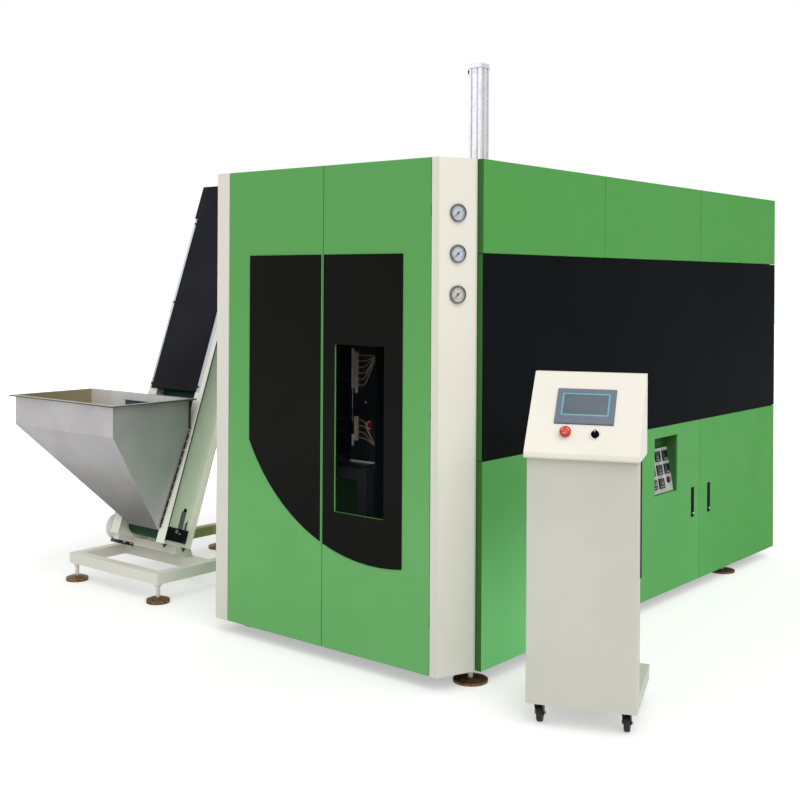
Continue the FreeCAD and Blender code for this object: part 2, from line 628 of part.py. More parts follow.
HANDLES = {"middle": f"({SEAM_TWO} - handle_offset)", "rear": f"({SEAM_TWO} + handle_offset + handle_width)"}


def side_doors():
    """The two hinged doors in the right side's lower row; the middle one holds the recess."""
    for name, start, far in (("middle", SEAM_ONE, False), ("rear", SEAM_TWO, True)):
        body = door(SIDE_DOOR, SIDE_DOOR_HEIGHT, far, False)
        origin = f"({start} + seam_gap / 2)"
        if name == "middle":
            x, low = f"recess_start - {origin}", "recess_low - skirt_height"
            add_box(body, f"{x} - sheet", "0", f"{low} - sheet", "recess_width + 2 * sheet",
                    "recess_depth + sheet", "recess_height + 2 * sheet")
            cut_box(body, x, "0", low, "recess_width", "recess_depth", "recess_height")
        slot = "handle_wall"
        cut_box(body, f"{HANDLES[name]} - handle_width / 2 - {origin} + {slot}", "0",
                f"handle_low - skirt_height + {slot}", "handle_width - 2 * handle_wall", "sheet",
                "handle_height - 2 * handle_wall")
        part(f"side_door_{name}", body, "cabinet_width", origin, "skirt_height", Z, 90)


def door_handles():
    """Flush swing handles: a case let into the door, and a lever that swings out at its foot."""
    for name in ("middle", "rear"):
        case = new_body("Handle_case")
        pad(case, rectangle(case, "XZ_Plane", "-handle_width / 2", "0", "handle_width", "handle_height"),
            "handle_proud")
        round_edges(case, "handle_edge", lambda box: box.YMax < -1e-6)
        add_box(case, "-handle_width / 2 + handle_wall", "0", "handle_wall",
                "handle_width - 2 * handle_wall", "handle_depth", "handle_height - 2 * handle_wall")
        inner = "(handle_width - 2 * handle_wall - 2 * sheet)"
        lever_low = "(handle_height - handle_wall - sheet - lever_height)"
        cut_box(case, f"-{inner} / 2", "-handle_proud", lever_low, inner,
                "handle_depth + handle_proud - sheet", "lever_height")
        pivot = "(handle_height - handle_wall - sheet - lever_depth / 2)"
        add_rod(case, f"-{inner} / 2", "lever_depth / 2 - handle_proud", pivot, "lever_pin", inner, X)
        add_rod(case, "0", "-handle_proud - key_proud", f"{lever_low} / 2", "key_radius", "key_depth", Y)
        part(f"handle_case_{name}", case, "cabinet_width", HANDLES[name], "handle_low", Z, 90)

        lever = new_body("Handle_lever")
        lever_width = f"({inner} - 2 * rest_gap)"
        pad(lever, rectangle(lever, "XZ_Plane", f"-{lever_width} / 2", f"{lever_low} + rest_gap",
                             lever_width, "lever_height - 2 * rest_gap"), "lever_depth", True)
        round_edges(lever, "lever_depth * 0.48", lambda box: box.ZLength < 1e-6 and box.XLength > 1)
        cut_rod(lever, f"-{inner} / 2", "lever_depth / 2", pivot, "lever_pin + running_gap", inner, X)
        part(f"handle_lever_{name}", lever, "cabinet_width + handle_proud", HANDLES[name],
             "handle_low", Z, 90)


def instruments():
    """The sloping instrument panel in the recess, with its temperature controllers and button."""
    seat = ("cabinet_width - panel_low_depth", "recess_start + rest_gap",
            "recess_low + rest_gap + panel_sheet * sin(panel_tilt)")
    push_x = "(controller_left + 2 * column_pitch + controller / 2)"

    def tilted(name, *items):
        leaned = place(group(*items), "0", "0", "0", X, "-panel_tilt")
        part(name, group(leaned), *seat, Z, 90)

    panel = new_body("Panel")
    pad(panel, rectangle(panel, "XZ_Plane", "0", "0", "recess_width - 2 * rest_gap", "panel_length"),
        "panel_sheet", True)
    cut_rod(panel, push_x, "0", "push_low", "push_radius + running_gap", "panel_sheet", Y)
    tilted("instrument_panel", panel)

    boxes = []
    for row in range(3):
        for column in range(3):
            if (row, column) != (0, 2):
                boxes.append(block(f"controller_left + {column} * column_pitch", "-controller_proud",
                                   f"controller_low + {row} * row_pitch", "controller",
                                   "controller_proud", "controller"))
    ring = cut(rod(push_x, "-push_proud", "push_low", "push_ring", "push_proud", Y),
               rod(push_x, "-push_proud", "push_low", "push_radius + running_gap", "push_proud", Y))
    tilted("temperature_controllers", *boxes, ring)
    tilted("recess_button", rod(push_x, "-push_proud - push_travel", "push_low", "push_radius",
                                "push_proud + push_travel + 2 * panel_sheet", Y))


# ---------------------------------------------------------------------------------------------------
# Pressure gauges on the slanted column face. Each is drawn with its face looking to -Y.
# ---------------------------------------------------------------------------------------------------
GAUGE_SEAT = ("cabinet_width - right_column + right_strip + gauge_face_side / 2", "gauge_face_run / 2")
GAUGE_TURN = "atan(gauge_face_run / gauge_face_side)"


def gauges():
    cases = []
    dial = "-gauge_floor + gauge_dial"
    for index, name in enumerate(("upper", "middle", "lower")):
        level = f"gauge_top - {index} * gauge_pitch"
        case = new_body("Gauge_case")
        # half section, turned about the gauge's axis: bezel, body, cup and spindle
        tip = "-gauge_proud + spindle_in"
        profile = outline(case, "YZ_Plane", [
            (dial, "0"), (tip, "0"), (tip, "spindle"), (dial, "spindle"),
            (dial, "gauge_radius - gauge_wall"), ("-gauge_proud", "gauge_radius - gauge_wall"),
            ("-gauge_proud", "gauge_radius - gauge_lip"), ("-gauge_proud + gauge_slant", "gauge_radius"),
            ("0", "gauge_radius"), ("0", "gauge_body"), ("gauge_back", "gauge_body"), ("gauge_back", "0")])
        turn = feature(case, "Revolution")
        turn.Profile = profile
        turn.ReferenceAxis = ([o for o in case.Origin.OriginFeatures if o.Role == "Y_Axis"][0], [""])
        turn.Angle = 360
        doc.recompute()
        cases.append(place(case, "0", "0", f"-{index} * gauge_pitch"))

        needle = new_body("Gauge_needle")
        pad(needle, outline(needle, "XZ_Plane", [
            ("-needle_root / 2", "-needle_tail"), ("needle_root / 2", "-needle_tail"),
            ("needle_tip / 2", "needle_length"), ("-needle_tip / 2", "needle_length")]),
            "needle_sheet", True)
        add_rod(needle, "0", "0", "0", "needle_hub", "needle_boss", Y)
        cut_rod(needle, "0", "0", "0", "spindle + running_gap", "needle_boss", Y)
        turned = place(needle, "0", "-gauge_proud + needle_in", "0", Y, "-needle_zero")
        part(f"gauge_needle_{name}", group(turned), *GAUGE_SEAT, level, Z, GAUGE_TURN)
    part("gauge_cases", group(*cases), *GAUGE_SEAT, "gauge_top", Z, GAUGE_TURN)


# ---------------------------------------------------------------------------------------------------
# Clamp unit and moulds, drawn from the parting plane above the station's centre on the bed
# ---------------------------------------------------------------------------------------------------
STATION = ("parting", "station", "bed_top")
TIE_PLACES = [(y, z) for y in ("-platen_width / 2 + tie_inset", "platen_width / 2 - tie_inset")
              for z in ("tie_low", "platen_height - tie_inset")]
MOVING_FACE = "(-clamp_stroke - mould_depth)"
REAR_FACE = "(-clamp_stroke - mould_depth - platen - clamp_length - clamp_gap)"


def platen(x, low="0"):
    body = new_body("Platen")
    pad(body, rectangle(body, "YZ_Plane", "-platen_width / 2", low, "platen_width",
                        f"platen_height - ({low})"), "platen")
    round_edges(body, "platen_edge", lambda box: box.ZLength < 1e-6 and box.YLength < 1e-6 or
                box.YLength < 1e-6 and box.XLength > 1)
    return place(body, x, "0", "0")


def clamp_unit():
    pieces = [platen("mould_depth"), platen(f"{REAR_FACE} - platen")]
    for y, z in TIE_PLACES:
        pieces.append(rod(REAR_FACE, y, z, "tie_radius", f"mould_depth - {REAR_FACE}", X))
        for x in ("mould_depth + platen", f"{REAR_FACE} - platen - tie_nut_height"):
            nut = doc.addObject("Part::Prism", "Nut")
            bind(nut, Circumradius="tie_nut", Height="tie_nut_height")
            pieces.append(place(nut, x, y, z, Y, 90))
    pieces += bridge()
    part("clamp_frame", group(*pieces), *STATION)

    body = new_body("Clamp_cylinder")
    middle = "platen_height / 2"
    add_rod(body, "0", "0", middle, "clamp_radius + clamp_rim", "clamp_flange", X)
    add_rod(body, "clamp_flange", "0", middle, "clamp_radius", "clamp_length - 2 * clamp_flange", X)
    add_rod(body, "clamp_length - clamp_flange", "0", middle, "clamp_radius + clamp_rim", "clamp_flange",
            X)
    cut_rod(body, "cylinder_floor", "0", middle, "clamp_rod + running_gap", "clamp_length", X)
    part("clamp_cylinder", body, f"parting + {REAR_FACE}", "station", "bed_top")

    moving = cut(platen(f"{MOVING_FACE} - platen", "rest_gap"),
                 *[rod(f"{MOVING_FACE} - platen - 1", y, z, "tie_radius + running_gap", "platen + 2", X)
                   for y, z in TIE_PLACES])
    piston = rod(f"{REAR_FACE} + piston_start", "0", middle, "clamp_rod",
                 "clamp_length + clamp_gap - piston_start", X)
    part("moving_platen", group(moving, piston), *STATION)


def mould(side):
    """Half of a two-cavity bottle mould, with its face in the parting plane; side is -1 or 1."""
    body = new_body("Mould")
    width, deep = "mould_width", "mould_depth"
    pad(body, outline(body, "YZ_Plane", [(f"-{width} / 2", "0"), (f"{width} / 2", "0"),
                                         (f"{width} / 2", "mould_height"),
                                         (f"-{width} / 2", "mould_height")]), deep, side < 0)
    top = "mould_height"
    body_top = f"({top} - neck_height - shoulder)"
    low = f"({top} - neck_height - bottle_height)"
    for index in (-1, 1):
        axis = f"({index} * cavity_pitch / 2)"
        out, neck = f"{axis} + bottle_radius", f"{axis} + neck_radius"
        profile = outline(body, "YZ_Plane", [
            (axis, f"{low} + bottle_punt"), (f"{axis} + bottle_radius - bottle_base", low),
            (out, f"{low} + bottle_base"), (out, f"{low} + grip_low"),
            (f"{out} - grip_depth", f"{low} + grip_middle"), (out, f"{low} + grip_high"),
            (out, body_top, "shoulder_radius", 1), (neck, f"{top} - neck_height"), (neck, top),
            (axis, top)])
        groove = feature(body, "Groove")
        groove.Profile = profile
        groove.ReferenceAxis = (profile, ["Edge10"])
        groove.Angle = 360
        before = body.Shape.Volume
        doc.recompute()
        if body.Shape.Volume > before - 1:
            raise ValueError("a cavity cuts nothing")
    return body


def moulds():
    part("fixed_mould", mould(1), "parting", "station", "bed_top + mould_low")
    part("moving_mould", mould(-1), "parting - clamp_stroke", "station", "bed_top + mould_low")


# ---------------------------------------------------------------------------------------------------
# Stretch unit, drawn from the parting plane above the station's centre on the bed
# ---------------------------------------------------------------------------------------------------
def bridge():
    """Two posts with a plate across them, and the guide rods that hang from the plate."""
    height = "(bridge_top - bed_top)"
    offset = "(platen_width / 2 + bridge_gap)"
    guide = "(bridge_top - bridge_plate - carriage_top + carriage_plate + stretch_stroke + guide_end)"
    pieces = []
    for y in (f"-{offset} - bridge_post", offset):
        pieces.append(block("-bridge_post / 2", y, "0", "bridge_post", "bridge_post",
                            f"{height} - bridge_plate"))
    pieces.append(cut(block("-bridge_depth / 2", f"-{offset} - bridge_post", f"{height} - bridge_plate",
                            "bridge_depth", f"2 * {offset} + 2 * bridge_post", "bridge_plate"),
                      rod("0", "0", f"{height} - bridge_plate - 1", "piston_rod + 1", "bridge_plate + 2")))
    for y in ("-guide_pitch / 2", "guide_pitch / 2"):
        pieces.append(rod("0", y, f"{height} - bridge_plate - {guide}", "guide_radius", guide))
    return pieces


def stretch_unit():
    # extruded cylinder barrel with rounded corners and two slots in each face
    body = new_body("Stretch_cylinder")
    half = "cylinder_size / 2"
    length = "(cylinder_top - bridge_top - 2 * end_cap)"
    pad(body, rectangle(body, "XY_Plane", f"-{half}", f"-{half}", "cylinder_size", "cylinder_size"),
        length)
    round_edges(body, "cylinder_corner", lambda box: box.XLength < 1e-6 and box.YLength < 1e-6)
    for offset in ("-slot_pitch / 2", "slot_pitch / 2"):
        for sign in ("-", ""):
            at = f"{sign}{half}" if sign else f"{half} - slot_depth"
            cut_box(body, f"{offset} - slot_width / 2", at, "0", "slot_width", "slot_depth", length)
            cut_box(body, at, f"{offset} - slot_width / 2", "0", "slot_depth", "slot_width", length)
    cut_rod(body, "0", "0", "0", "piston_rod + running_gap", "carriage_plate * 2")
    barrel = place(body, "0", "0", "end_cap")
    caps = []
    for low in ("0", "cylinder_top - bridge_top - end_cap"):
        cap = new_body("End_cap")
        pad(cap, rectangle(cap, "XY_Plane", f"-{half}", f"-{half}", "cylinder_size", "cylinder_size"),
            "end_cap")
        round_edges(cap, "cylinder_corner", lambda box: box.XLength < 1e-6 and box.YLength < 1e-6)
        if low == "0":
            cut_rod(cap, "0", "0", "0", "piston_rod + running_gap", "end_cap")
        caps.append(place(cap, "0", "0", low))
    part("stretch_cylinder", group(barrel, *caps), "parting", "station", "bridge_top")

    # carriage plate with the piston rod above it and the two stretch rods below
    plate = new_body("Carriage")
    pad(plate, rectangle(plate, "XY_Plane", "-carriage_depth / 2", "-carriage_width / 2",
                         "carriage_depth", "carriage_width"), "carriage_plate")
    round_edges(plate, "carriage_edge", lambda box: box.XLength < 1e-6 and box.YLength < 1e-6)
    for y in ("-guide_pitch / 2", "guide_pitch / 2"):
        cut_rod(plate, "0", y, "0", "guide_radius + running_gap", "carriage_plate")
    reach = "(bridge_top + end_cap + carriage_plate - carriage_top)"
    add_rod(plate, "0", "0", "carriage_plate", "piston_rod", reach)
    for index in (-1, 1):
        y = f"{index} * cavity_pitch / 2"
        add_rod(plate, "0", y, "-carriage_plate", "stretch_rod * 2", "carriage_plate")
        add_rod(plate, "0", y, "-stretch_rod_length", "stretch_rod",
                "stretch_rod_length - carriage_plate")
    part("stretch_carriage", plate, "parting", "station", "carriage_top - carriage_plate")


# ---------------------------------------------------------------------------------------------------
# Infrared oven: two banks of lamps with a lane for the preforms between them
# ---------------------------------------------------------------------------------------------------
LAMP_LEVELS = [f"lamp_low + {index} * lamp_pitch" for index in range(4)] + \
              [f"lamp_high + {index} * lamp_pitch" for index in range(6)]


def mirrored_x(side, start, width):
    """x of something in the right bank, or of its mirror image in the left bank."""
    return start if side == "right" else f"-({start}) - ({width})"


def oven():
    housings, lamps, wiring = [], [], []
    inside = "bank_width - bank_sheet"
    for side in ("right", "left"):
        x = mirrored_x(side, "lane / 2", "bank_width")
        shell = block(x, "0", "0", "bank_width", "oven_length", "bank_height")
        room = block(mirrored_x(side, "lane / 2", inside), "bank_sheet", "bank_sheet", inside,
                     "oven_length - 2 * bank_sheet", "bank_height - 2 * bank_sheet")
        housings.append(cut(shell, room))
        if side == "right":
            # its outer wall goes on down past the edge of the bed
            housings.append(block("lane / 2 + bank_width - bank_sheet", "0", "-bank_skirt",
                                  "bank_sheet", "oven_length", "bank_skirt"))
        lamp_x = mirrored_x(side, "lane / 2 + lamp_stand", "0")
        strip_x = mirrored_x(side, "lane / 2 + lamp_stand - strip_width / 2", "strip_width")
        for level in LAMP_LEVELS:
            lamps.append(rod(lamp_x, "bank_sheet", level, "lamp_radius",
                             "oven_length - 2 * bank_sheet", Y))
        for levels, gather in ((LAMP_LEVELS[:4], "lamp_low - lamp_pitch"),
                               (LAMP_LEVELS[4:], "lamp_high + 5 * lamp_pitch")):
            low = f"{levels[0]} - lamp_pitch / 2"
            wiring.append(block(strip_x, "-strip_depth", low, "strip_width", "strip_depth",
                                f"{len(levels)} * lamp_pitch"))
            for index, level in enumerate(levels):
                spread = index if gather == "lamp_low - lamp_pitch" else index - len(levels) + 1
                layer = f"-strip_depth / 2 + {(-1) ** index} * wire_layer"
                wiring.append(wire(side, layer, level, f"{gather} + {spread} * wire_apart"))
    place_oven = ("parting", "oven_front", "bed_top")
    part("oven_body", group(*housings), *place_oven)
    part("heating_lamps", group(*lamps), *place_oven)
    part("lamp_wiring", group(*wiring), *place_oven)


def wire(side, layer, level, gather):
    """One lamp's lead: out of its terminal, then in one bend to where the leads meet."""
    sign = 1 if side == "right" else -1
    start_x = value("lane / 2 + lamp_stand + strip_width / 2")
    end_x = start_x + value("wire_gather")
    y = value(layer)
    start = Vector(sign * start_x, y, value(level))
    end = Vector(sign * end_x, y, value(gather))
    knee = Vector(sign * (start_x + 0.42 * value("wire_gather")), y, start.z)
    item = doc.addObject("Part::Feature", "Wire")
    item.Shape = bent_rod([start, knee, end], value("wire_radius"))
    return item


def bent_rod(points, radius):
    """A round rod along three points, with an arc at the middle one where they aren't in line."""
    start, knee, end = points
    before, after = (knee - start).normalize(), (end - knee).normalize()
    angle = before.getAngle(after)
    runs = min((knee - start).Length, (end - knee).Length)
    if angle < 0.01:
        path = [Part.LineSegment(start, end).toShape()]
    else:
        bend = 0.45 * runs / math.tan(angle / 2)
        back = bend * math.tan(angle / 2)
        first, last = knee - before * back, knee + after * back
        to_centre = (after - before).normalize() * (bend / math.cos(angle / 2))
        centre = knee + to_centre
        middle = centre - to_centre.normalize() * bend
        path = [Part.LineSegment(start, first).toShape(), Part.Arc(first, middle, last).toShape(),
                Part.LineSegment(last, end).toShape()]
    circle = Part.Wire([Part.makeCircle(radius, start, before)])
    return Part.Wire(path).makePipeShell([circle], True, False)


# ---------------------------------------------------------------------------------------------------
# Preform loader: base, elevator, hopper, drive and chute
# ---------------------------------------------------------------------------------------------------
LEFT_WEB = "(elevator_left + flange)"
RIGHT_WEB = "(elevator_right - flange)"
HOOD_LOW = "(hood_start + hood_rise)"
BELT_X = "(elevator_left + flange + plate + belt_side_gap)"
BELT_WIDTH = "(elevator_right - elevator_left - 2 * (flange + plate + belt_side_gap))"


def leaned(*items):
    """Items drawn along the elevator: local z climbs it and local y runs from its front to its back."""
    return place(group(*items), "0", "elevator_y", "elevator_z", X, "-lean")


def elevator(name, *items):
    part(name, group(leaned(*items)))


def climbed(deep, along):
    """y and z in the cabinet's frame of a place in the elevator's side view."""
    return (f"elevator_y + ({deep}) * cos(lean) + ({along}) * sin(lean)",
            f"elevator_z + ({along}) * cos(lean) - ({deep}) * sin(lean)")


def loader_frame():
    width = "(loader_right - loader_left)"
    height = "(loader_high - loader_low)"
    bars = []
    for x in ("loader_left", "loader_right - loader_bar"):
        bars.append(block(x, "loader_front", "loader_low", "loader_bar", "loader_back - loader_front",
                          height))
    for y in ("loader_front", "cross_bar", "loader_back - loader_bar"):
        bars.append(block("loader_left + loader_bar", y, "loader_low", f"{width} - 2 * loader_bar",
                          "loader_bar", height))
    for post_x in (f"{LEFT_WEB} - loader_bar", RIGHT_WEB):
        bars.append(block(post_x, "loader_back - loader_bar", "loader_high", "loader_bar", "loader_bar",
                          "rear_post_top - loader_high"))

    # the leg stands outside the left plate, with its front cut to lie along that plate's rear flange
    back_run = "(elevator_y + elevator_depth / cos(lean) + rest_gap"
    leg_front = "(leg_back - leg_depth)"
    leg = prism("YZ_Plane", [(leg_front, "loader_high"), ("leg_back", "loader_high"),
                             ("leg_back", "leg_top"),
                             (f"{back_run} + (leg_top - elevator_z) * tan(lean))", "leg_top"),
                             (leg_front, f"elevator_z + ({leg_front} - {back_run})) / tan(lean)")],
                "leg_width")
    bars.append(place(leg, f"{LEFT_WEB} - leg_width", "0", "0"))

    # a bar ties the lower ends of the two side plates, and a gusset carries it at the right
    gusset_back = ("tie_deep + tie_bar", "bracket_rise")
    gusset = prism("YZ_Plane", [("cross_bar", "loader_high"), ("cross_bar + loader_bar", "loader_high"),
                                climbed(*gusset_back), climbed("tie_deep", "bracket_rise"),
                                climbed("tie_deep", "0")], "bracket_plate")
    bars.append(place(gusset, f"{RIGHT_WEB} - plate - bracket_plate", "0", "0"))
    tie = block(LEFT_WEB, "tie_deep", "-tie_bar", f"{RIGHT_WEB} - {LEFT_WEB} - plate - bracket_plate",
                "tie_bar", "tie_bar")
    part("loader_frame", group(*bars, leaned(tie)))


def side_plate(side):
    """One of the elevator's side plates: a channel that opens outward, with its front flange wider."""
    deep, length = "elevator_depth", "elevator_length"
    body = prism("YZ_Plane", [("0", "0"), (deep, "0"), (deep, "hood_start"),
                              ("hood_depth", HOOD_LOW), ("hood_depth", length), ("0", length)], "plate")
    out, front = ("-flange", "-flange") if side == "left" else ("plate", "plate - inner_lip")
    add_box(body, front, "0", "0", "flange + inner_lip", "plate", length)
    add_box(body, out, f"{deep} - plate", "0", "flange", "plate", "hood_start")
    for level in ("roller_low", "roller_high"):
        cut_rod(body, "0", "roller_depth", level, "axle_radius + running_gap", "plate", X)
    # a slot with a round end and a slit beside it, for setting the belt's tension
    straight = "(slot_length - slot_gauge / 2)"
    cut_box(body, "0", "slot_deep", "slot_start", "plate", "slot_gauge", straight)
    cut_rod(body, "0", "slot_deep + slot_gauge / 2", f"slot_start + {straight}", "slot_gauge / 2",
            "plate", X)
    cut_box(body, "0", "slit_deep", "slot_start", "plate", "slit_gauge", "slit_length")
    return place(body, LEFT_WEB if side == "left" else f"{RIGHT_WEB} - plate", "0", "0")


def elevator_unit():
    # the mouth through which the preforms slide into the chute is upright, like the chute
    mouth = block(f"{RIGHT_WEB} - 2 * plate", "chute_y + sheet", "chute_top + sheet", "3 * plate",
                  "chute_width - 2 * sheet", "chute_height")
    part("elevator_side_plates", cut(leaned(side_plate("left"), side_plate("right")), mouth))
    elevator_covers()

    run = "(roller_high - roller_low)"

    def stadium(radius):
        return fuse(rod(BELT_X, "roller_depth", "roller_low", radius, BELT_WIDTH, X),
                    rod(BELT_X, "roller_depth", "roller_high", radius, BELT_WIDTH, X),
                    block(BELT_X, f"roller_depth - ({radius})", "roller_low", BELT_WIDTH,
                          f"2 * ({radius})", run))
    pieces = [cut(stadium("roller_radius + belt"), stadium("roller_radius"))]
    for index in range(int(SIZES["cleats"])):
        level = f"roller_low + {index} * {run} / cleats"
        for y in ("roller_depth - roller_radius - belt - cleat", "roller_depth + roller_radius + belt"):
            pieces.append(block(f"{BELT_X} + cleat_inset", y, level, f"{BELT_WIDTH} - 2 * cleat_inset",
                                "cleat", "cleat_thick"))
    elevator("elevator_belt", *pieces)

    for name, level in (("tail", "roller_low"), ("head", "roller_high")):
        drum = rod(BELT_X, "roller_depth", level, "roller_radius - rest_gap", BELT_WIDTH, X)
        axle = rod(f"{LEFT_WEB} - axle_end", "roller_depth", level, "axle_radius",
                   f"{RIGHT_WEB} - {LEFT_WEB} + 2 * axle_end", X)
        elevator(f"{name}_roller", fuse(drum, axle))

    # geared motor: its housing drives the tail axle, and the motor hangs lower on the same housing
    centre = "(roller_low - motor_drop)"
    housing = block(f"{LEFT_WEB} - motor_mount", "roller_depth - motor_radius",
                    f"{centre} - motor_radius", "motor_mount", "2 * motor_radius",
                    "motor_radius + motor_drop + motor_head")
    motor = rod(f"{LEFT_WEB} - motor_mount - motor_length", "roller_depth", centre, "motor_radius",
                "motor_length", X)
    bore = rod(f"{LEFT_WEB} - motor_mount / 2", "roller_depth", "roller_low",
               "axle_radius + running_gap", "motor_mount", X)
    elevator("drive_motor", cut(fuse(housing, motor), bore))


def elevator_covers():
    """The black lid, the covers at the back and on the hood, and the plate over the tension slot."""
    deep, length = "elevator_depth", "elevator_length"
    width = "(elevator_right - elevator_left)"
    lid = new_body("Cover")
    shoulder, top = "(cover_head - cover_start)", f"({length} - cover_start)"
    right = f"({width} - cover_right)"
    pad(lid, outline(lid, "XZ_Plane", [("cover_left", "0"), (right, "0"), (right, shoulder),
                                       (width, shoulder), (width, top), ("0", top), ("0", shoulder),
                                       ("cover_left", shoulder)]), "cover_proud")
    round_edges(lid, "edge_radius", lambda box: box.YMax < -1e-6)
    across = f"({RIGHT_WEB} - {LEFT_WEB})"
    take_up = cut(block(RIGHT_WEB, "tension_deep", "tension_start", "tension_plate", "tension_width",
                        "tension_length"),
                  rod(RIGHT_WEB, "roller_depth", "roller_low", "axle_radius + running_gap",
                      "tension_plate", X))
    cover = [place(lid, "elevator_left", "0", "cover_start"), take_up,
             block(LEFT_WEB, deep, "back_start", across, "sheet",
                   "hood_start - back_start - slope_sheet"),
             block(LEFT_WEB, "hood_depth", HOOD_LOW, across, "sheet", f"{length} - {HOOD_LOW}"),
             block(LEFT_WEB, "0", length, across, "hood_depth + sheet", "sheet")]
    floor = prism("YZ_Plane", [(deep, "hood_start"), ("hood_depth", HOOD_LOW),
                               ("hood_depth", f"{HOOD_LOW} - slope_sheet"),
                               (deep, "hood_start - slope_sheet")], across)
    cover.append(place(floor, LEFT_WEB, "0", "0"))

    # a sloping plate in the hood, trimmed to its inside, sends the preforms to the mouth
    span = f"({across} - 2 * plate)"
    room = prism("YZ_Plane", [(deep, "hood_start"), ("hood_depth", HOOD_LOW), ("hood_depth", length),
                              (deep, length)], span)
    slope = prism("XZ_Plane", [("0", "deflector_rise"), (span, "0"), (span, "slope_sheet"),
                               ("0", "deflector_rise + slope_sheet")], "2 * chute_y", True)
    deflector = doc.addObject("Part::Common", "Deflector")
    deflector.Base = leaned(place(room, f"{LEFT_WEB} + plate", "0", "0"))
    deflector.Tool = place(slope, f"{LEFT_WEB} + plate", "0", "chute_top + sheet")
    part("elevator_cover", group(leaned(*cover), deflector))


def hopper():
    """Sheet metal hopper: an upright rim with a turned lip, and an off-centre pyramid under it.

    A window in its back wall and a floor that reaches in under the window feed the elevator's cleats.
    """
    wall = "hopper_wall"
    rim_low = "hopper_top - hopper_rim"
    width, depth = "(hopper_right - hopper_left)", "(hopper_back - hopper_front)"
    outlet_back = "(elevator_y + (outlet_height - elevator_z) * tan(lean) - rest_gap)"
    outer = block("hopper_left", "hopper_front", rim_low, width, depth, "hopper_rim")
    lip = block("hopper_left - hopper_lip", "hopper_front - hopper_lip", f"hopper_top - {wall}",
                f"{width} + 2 * hopper_lip", f"{depth} + 2 * hopper_lip", wall)
    room = block(f"hopper_left + {wall}", f"hopper_front + {wall}", rim_low, f"{width} - 2 * {wall}",
                 f"{depth} - 2 * {wall}", "hopper_rim + 1")

    def pyramid(inset):
        item = doc.addObject("Part::Wedge", "Pyramid")
        bind(item, Ymin="0", Ymax=f"{rim_low} - outlet_height",
             Xmin=f"outlet_left + {inset}", Xmax=f"outlet_right - {inset}",
             Zmin=f"-({outlet_back}) + {inset}", Zmax=f"-outlet_front - {inset}",
             X2min=f"hopper_left + {inset}", X2max=f"hopper_right - {inset}",
             Z2min=f"-hopper_back + {inset}", Z2max=f"-hopper_front - {inset}")
        return place(item, "0", "0", "outlet_height", X, 90)
    floor = block("outlet_left", "outlet_front", "outlet_height", "outlet_right - outlet_left",
                  f"{outlet_back} - outlet_front", wall)
    window_x, window_low = f"(outlet_left + {wall})", f"(outlet_height + {wall})"
    window_width = f"({BELT_X} + {BELT_WIDTH} - {window_x})"
    sill = block(window_x, f"{outlet_back} - {wall}", "outlet_height", window_width,
                 f"outlet_floor + {wall}", wall)
    window_y = f"({outlet_back} - 1.5 * {wall})"
    slope = f"(hopper_back - {outlet_back}) / ({rim_low} - outlet_height)"
    window_top, window_far = f"{window_low} + window_rise", f"{outlet_back} + window_rise"
    window = prism("YZ_Plane", [(window_y, window_low), (window_far, window_low),
                                (window_far, window_top),
                                (f"{window_y} + window_rise * {slope}", window_top)], window_width)
    shell = cut(fuse(outer, lip, pyramid("0")), room, pyramid(wall), place(window, window_x))
    part("hopper", fuse(shell, floor, sill))


def chute():
    trough = prism("YZ_Plane", [("0", "0"), ("chute_width", "0"), ("chute_width", "chute_height"),
                                ("chute_width - sheet", "chute_height"), ("chute_width - sheet", "sheet"),
                                ("sheet", "sheet"), ("sheet", "chute_height"), ("0", "chute_height")],
                   "chute_length")
    part("discharge_chute", trough, RIGHT_WEB, "chute_y", "chute_top", Y, "chute_fall")


# ---------------------------------------------------------------------------------------------------
# Control pedestal, drawn from the column's front left corner and turned towards the operator
# ---------------------------------------------------------------------------------------------------
PEDESTAL = ("pedestal_x", "pedestal_y", "0", Z, "pedestal_turn")
FACE_RUN = "(head_crown + head_nose)"
FACE_RISE = "(head_top - head_low - head_nose_height)"
FACE_TURN = f"-atan({FACE_RUN} / {FACE_RISE})"
CASTERS = {"front_left": ("caster_x", "caster_y"),
           "front_right": ("pedestal_width - caster_x", "caster_y"),
           "rear_left": ("caster_x", "base_depth - caster_y"),
           "rear_right": ("pedestal_width - caster_x", "base_depth - caster_y")}


def on_face(name, *items):
    """Items drawn on the sloping face: local x across it, local z up it and local y into it."""
    sloped = place(group(*items), "-head_over", "-head_nose", "head_low + head_nose_height", X, FACE_TURN)
    part(name, group(sloped), *PEDESTAL)


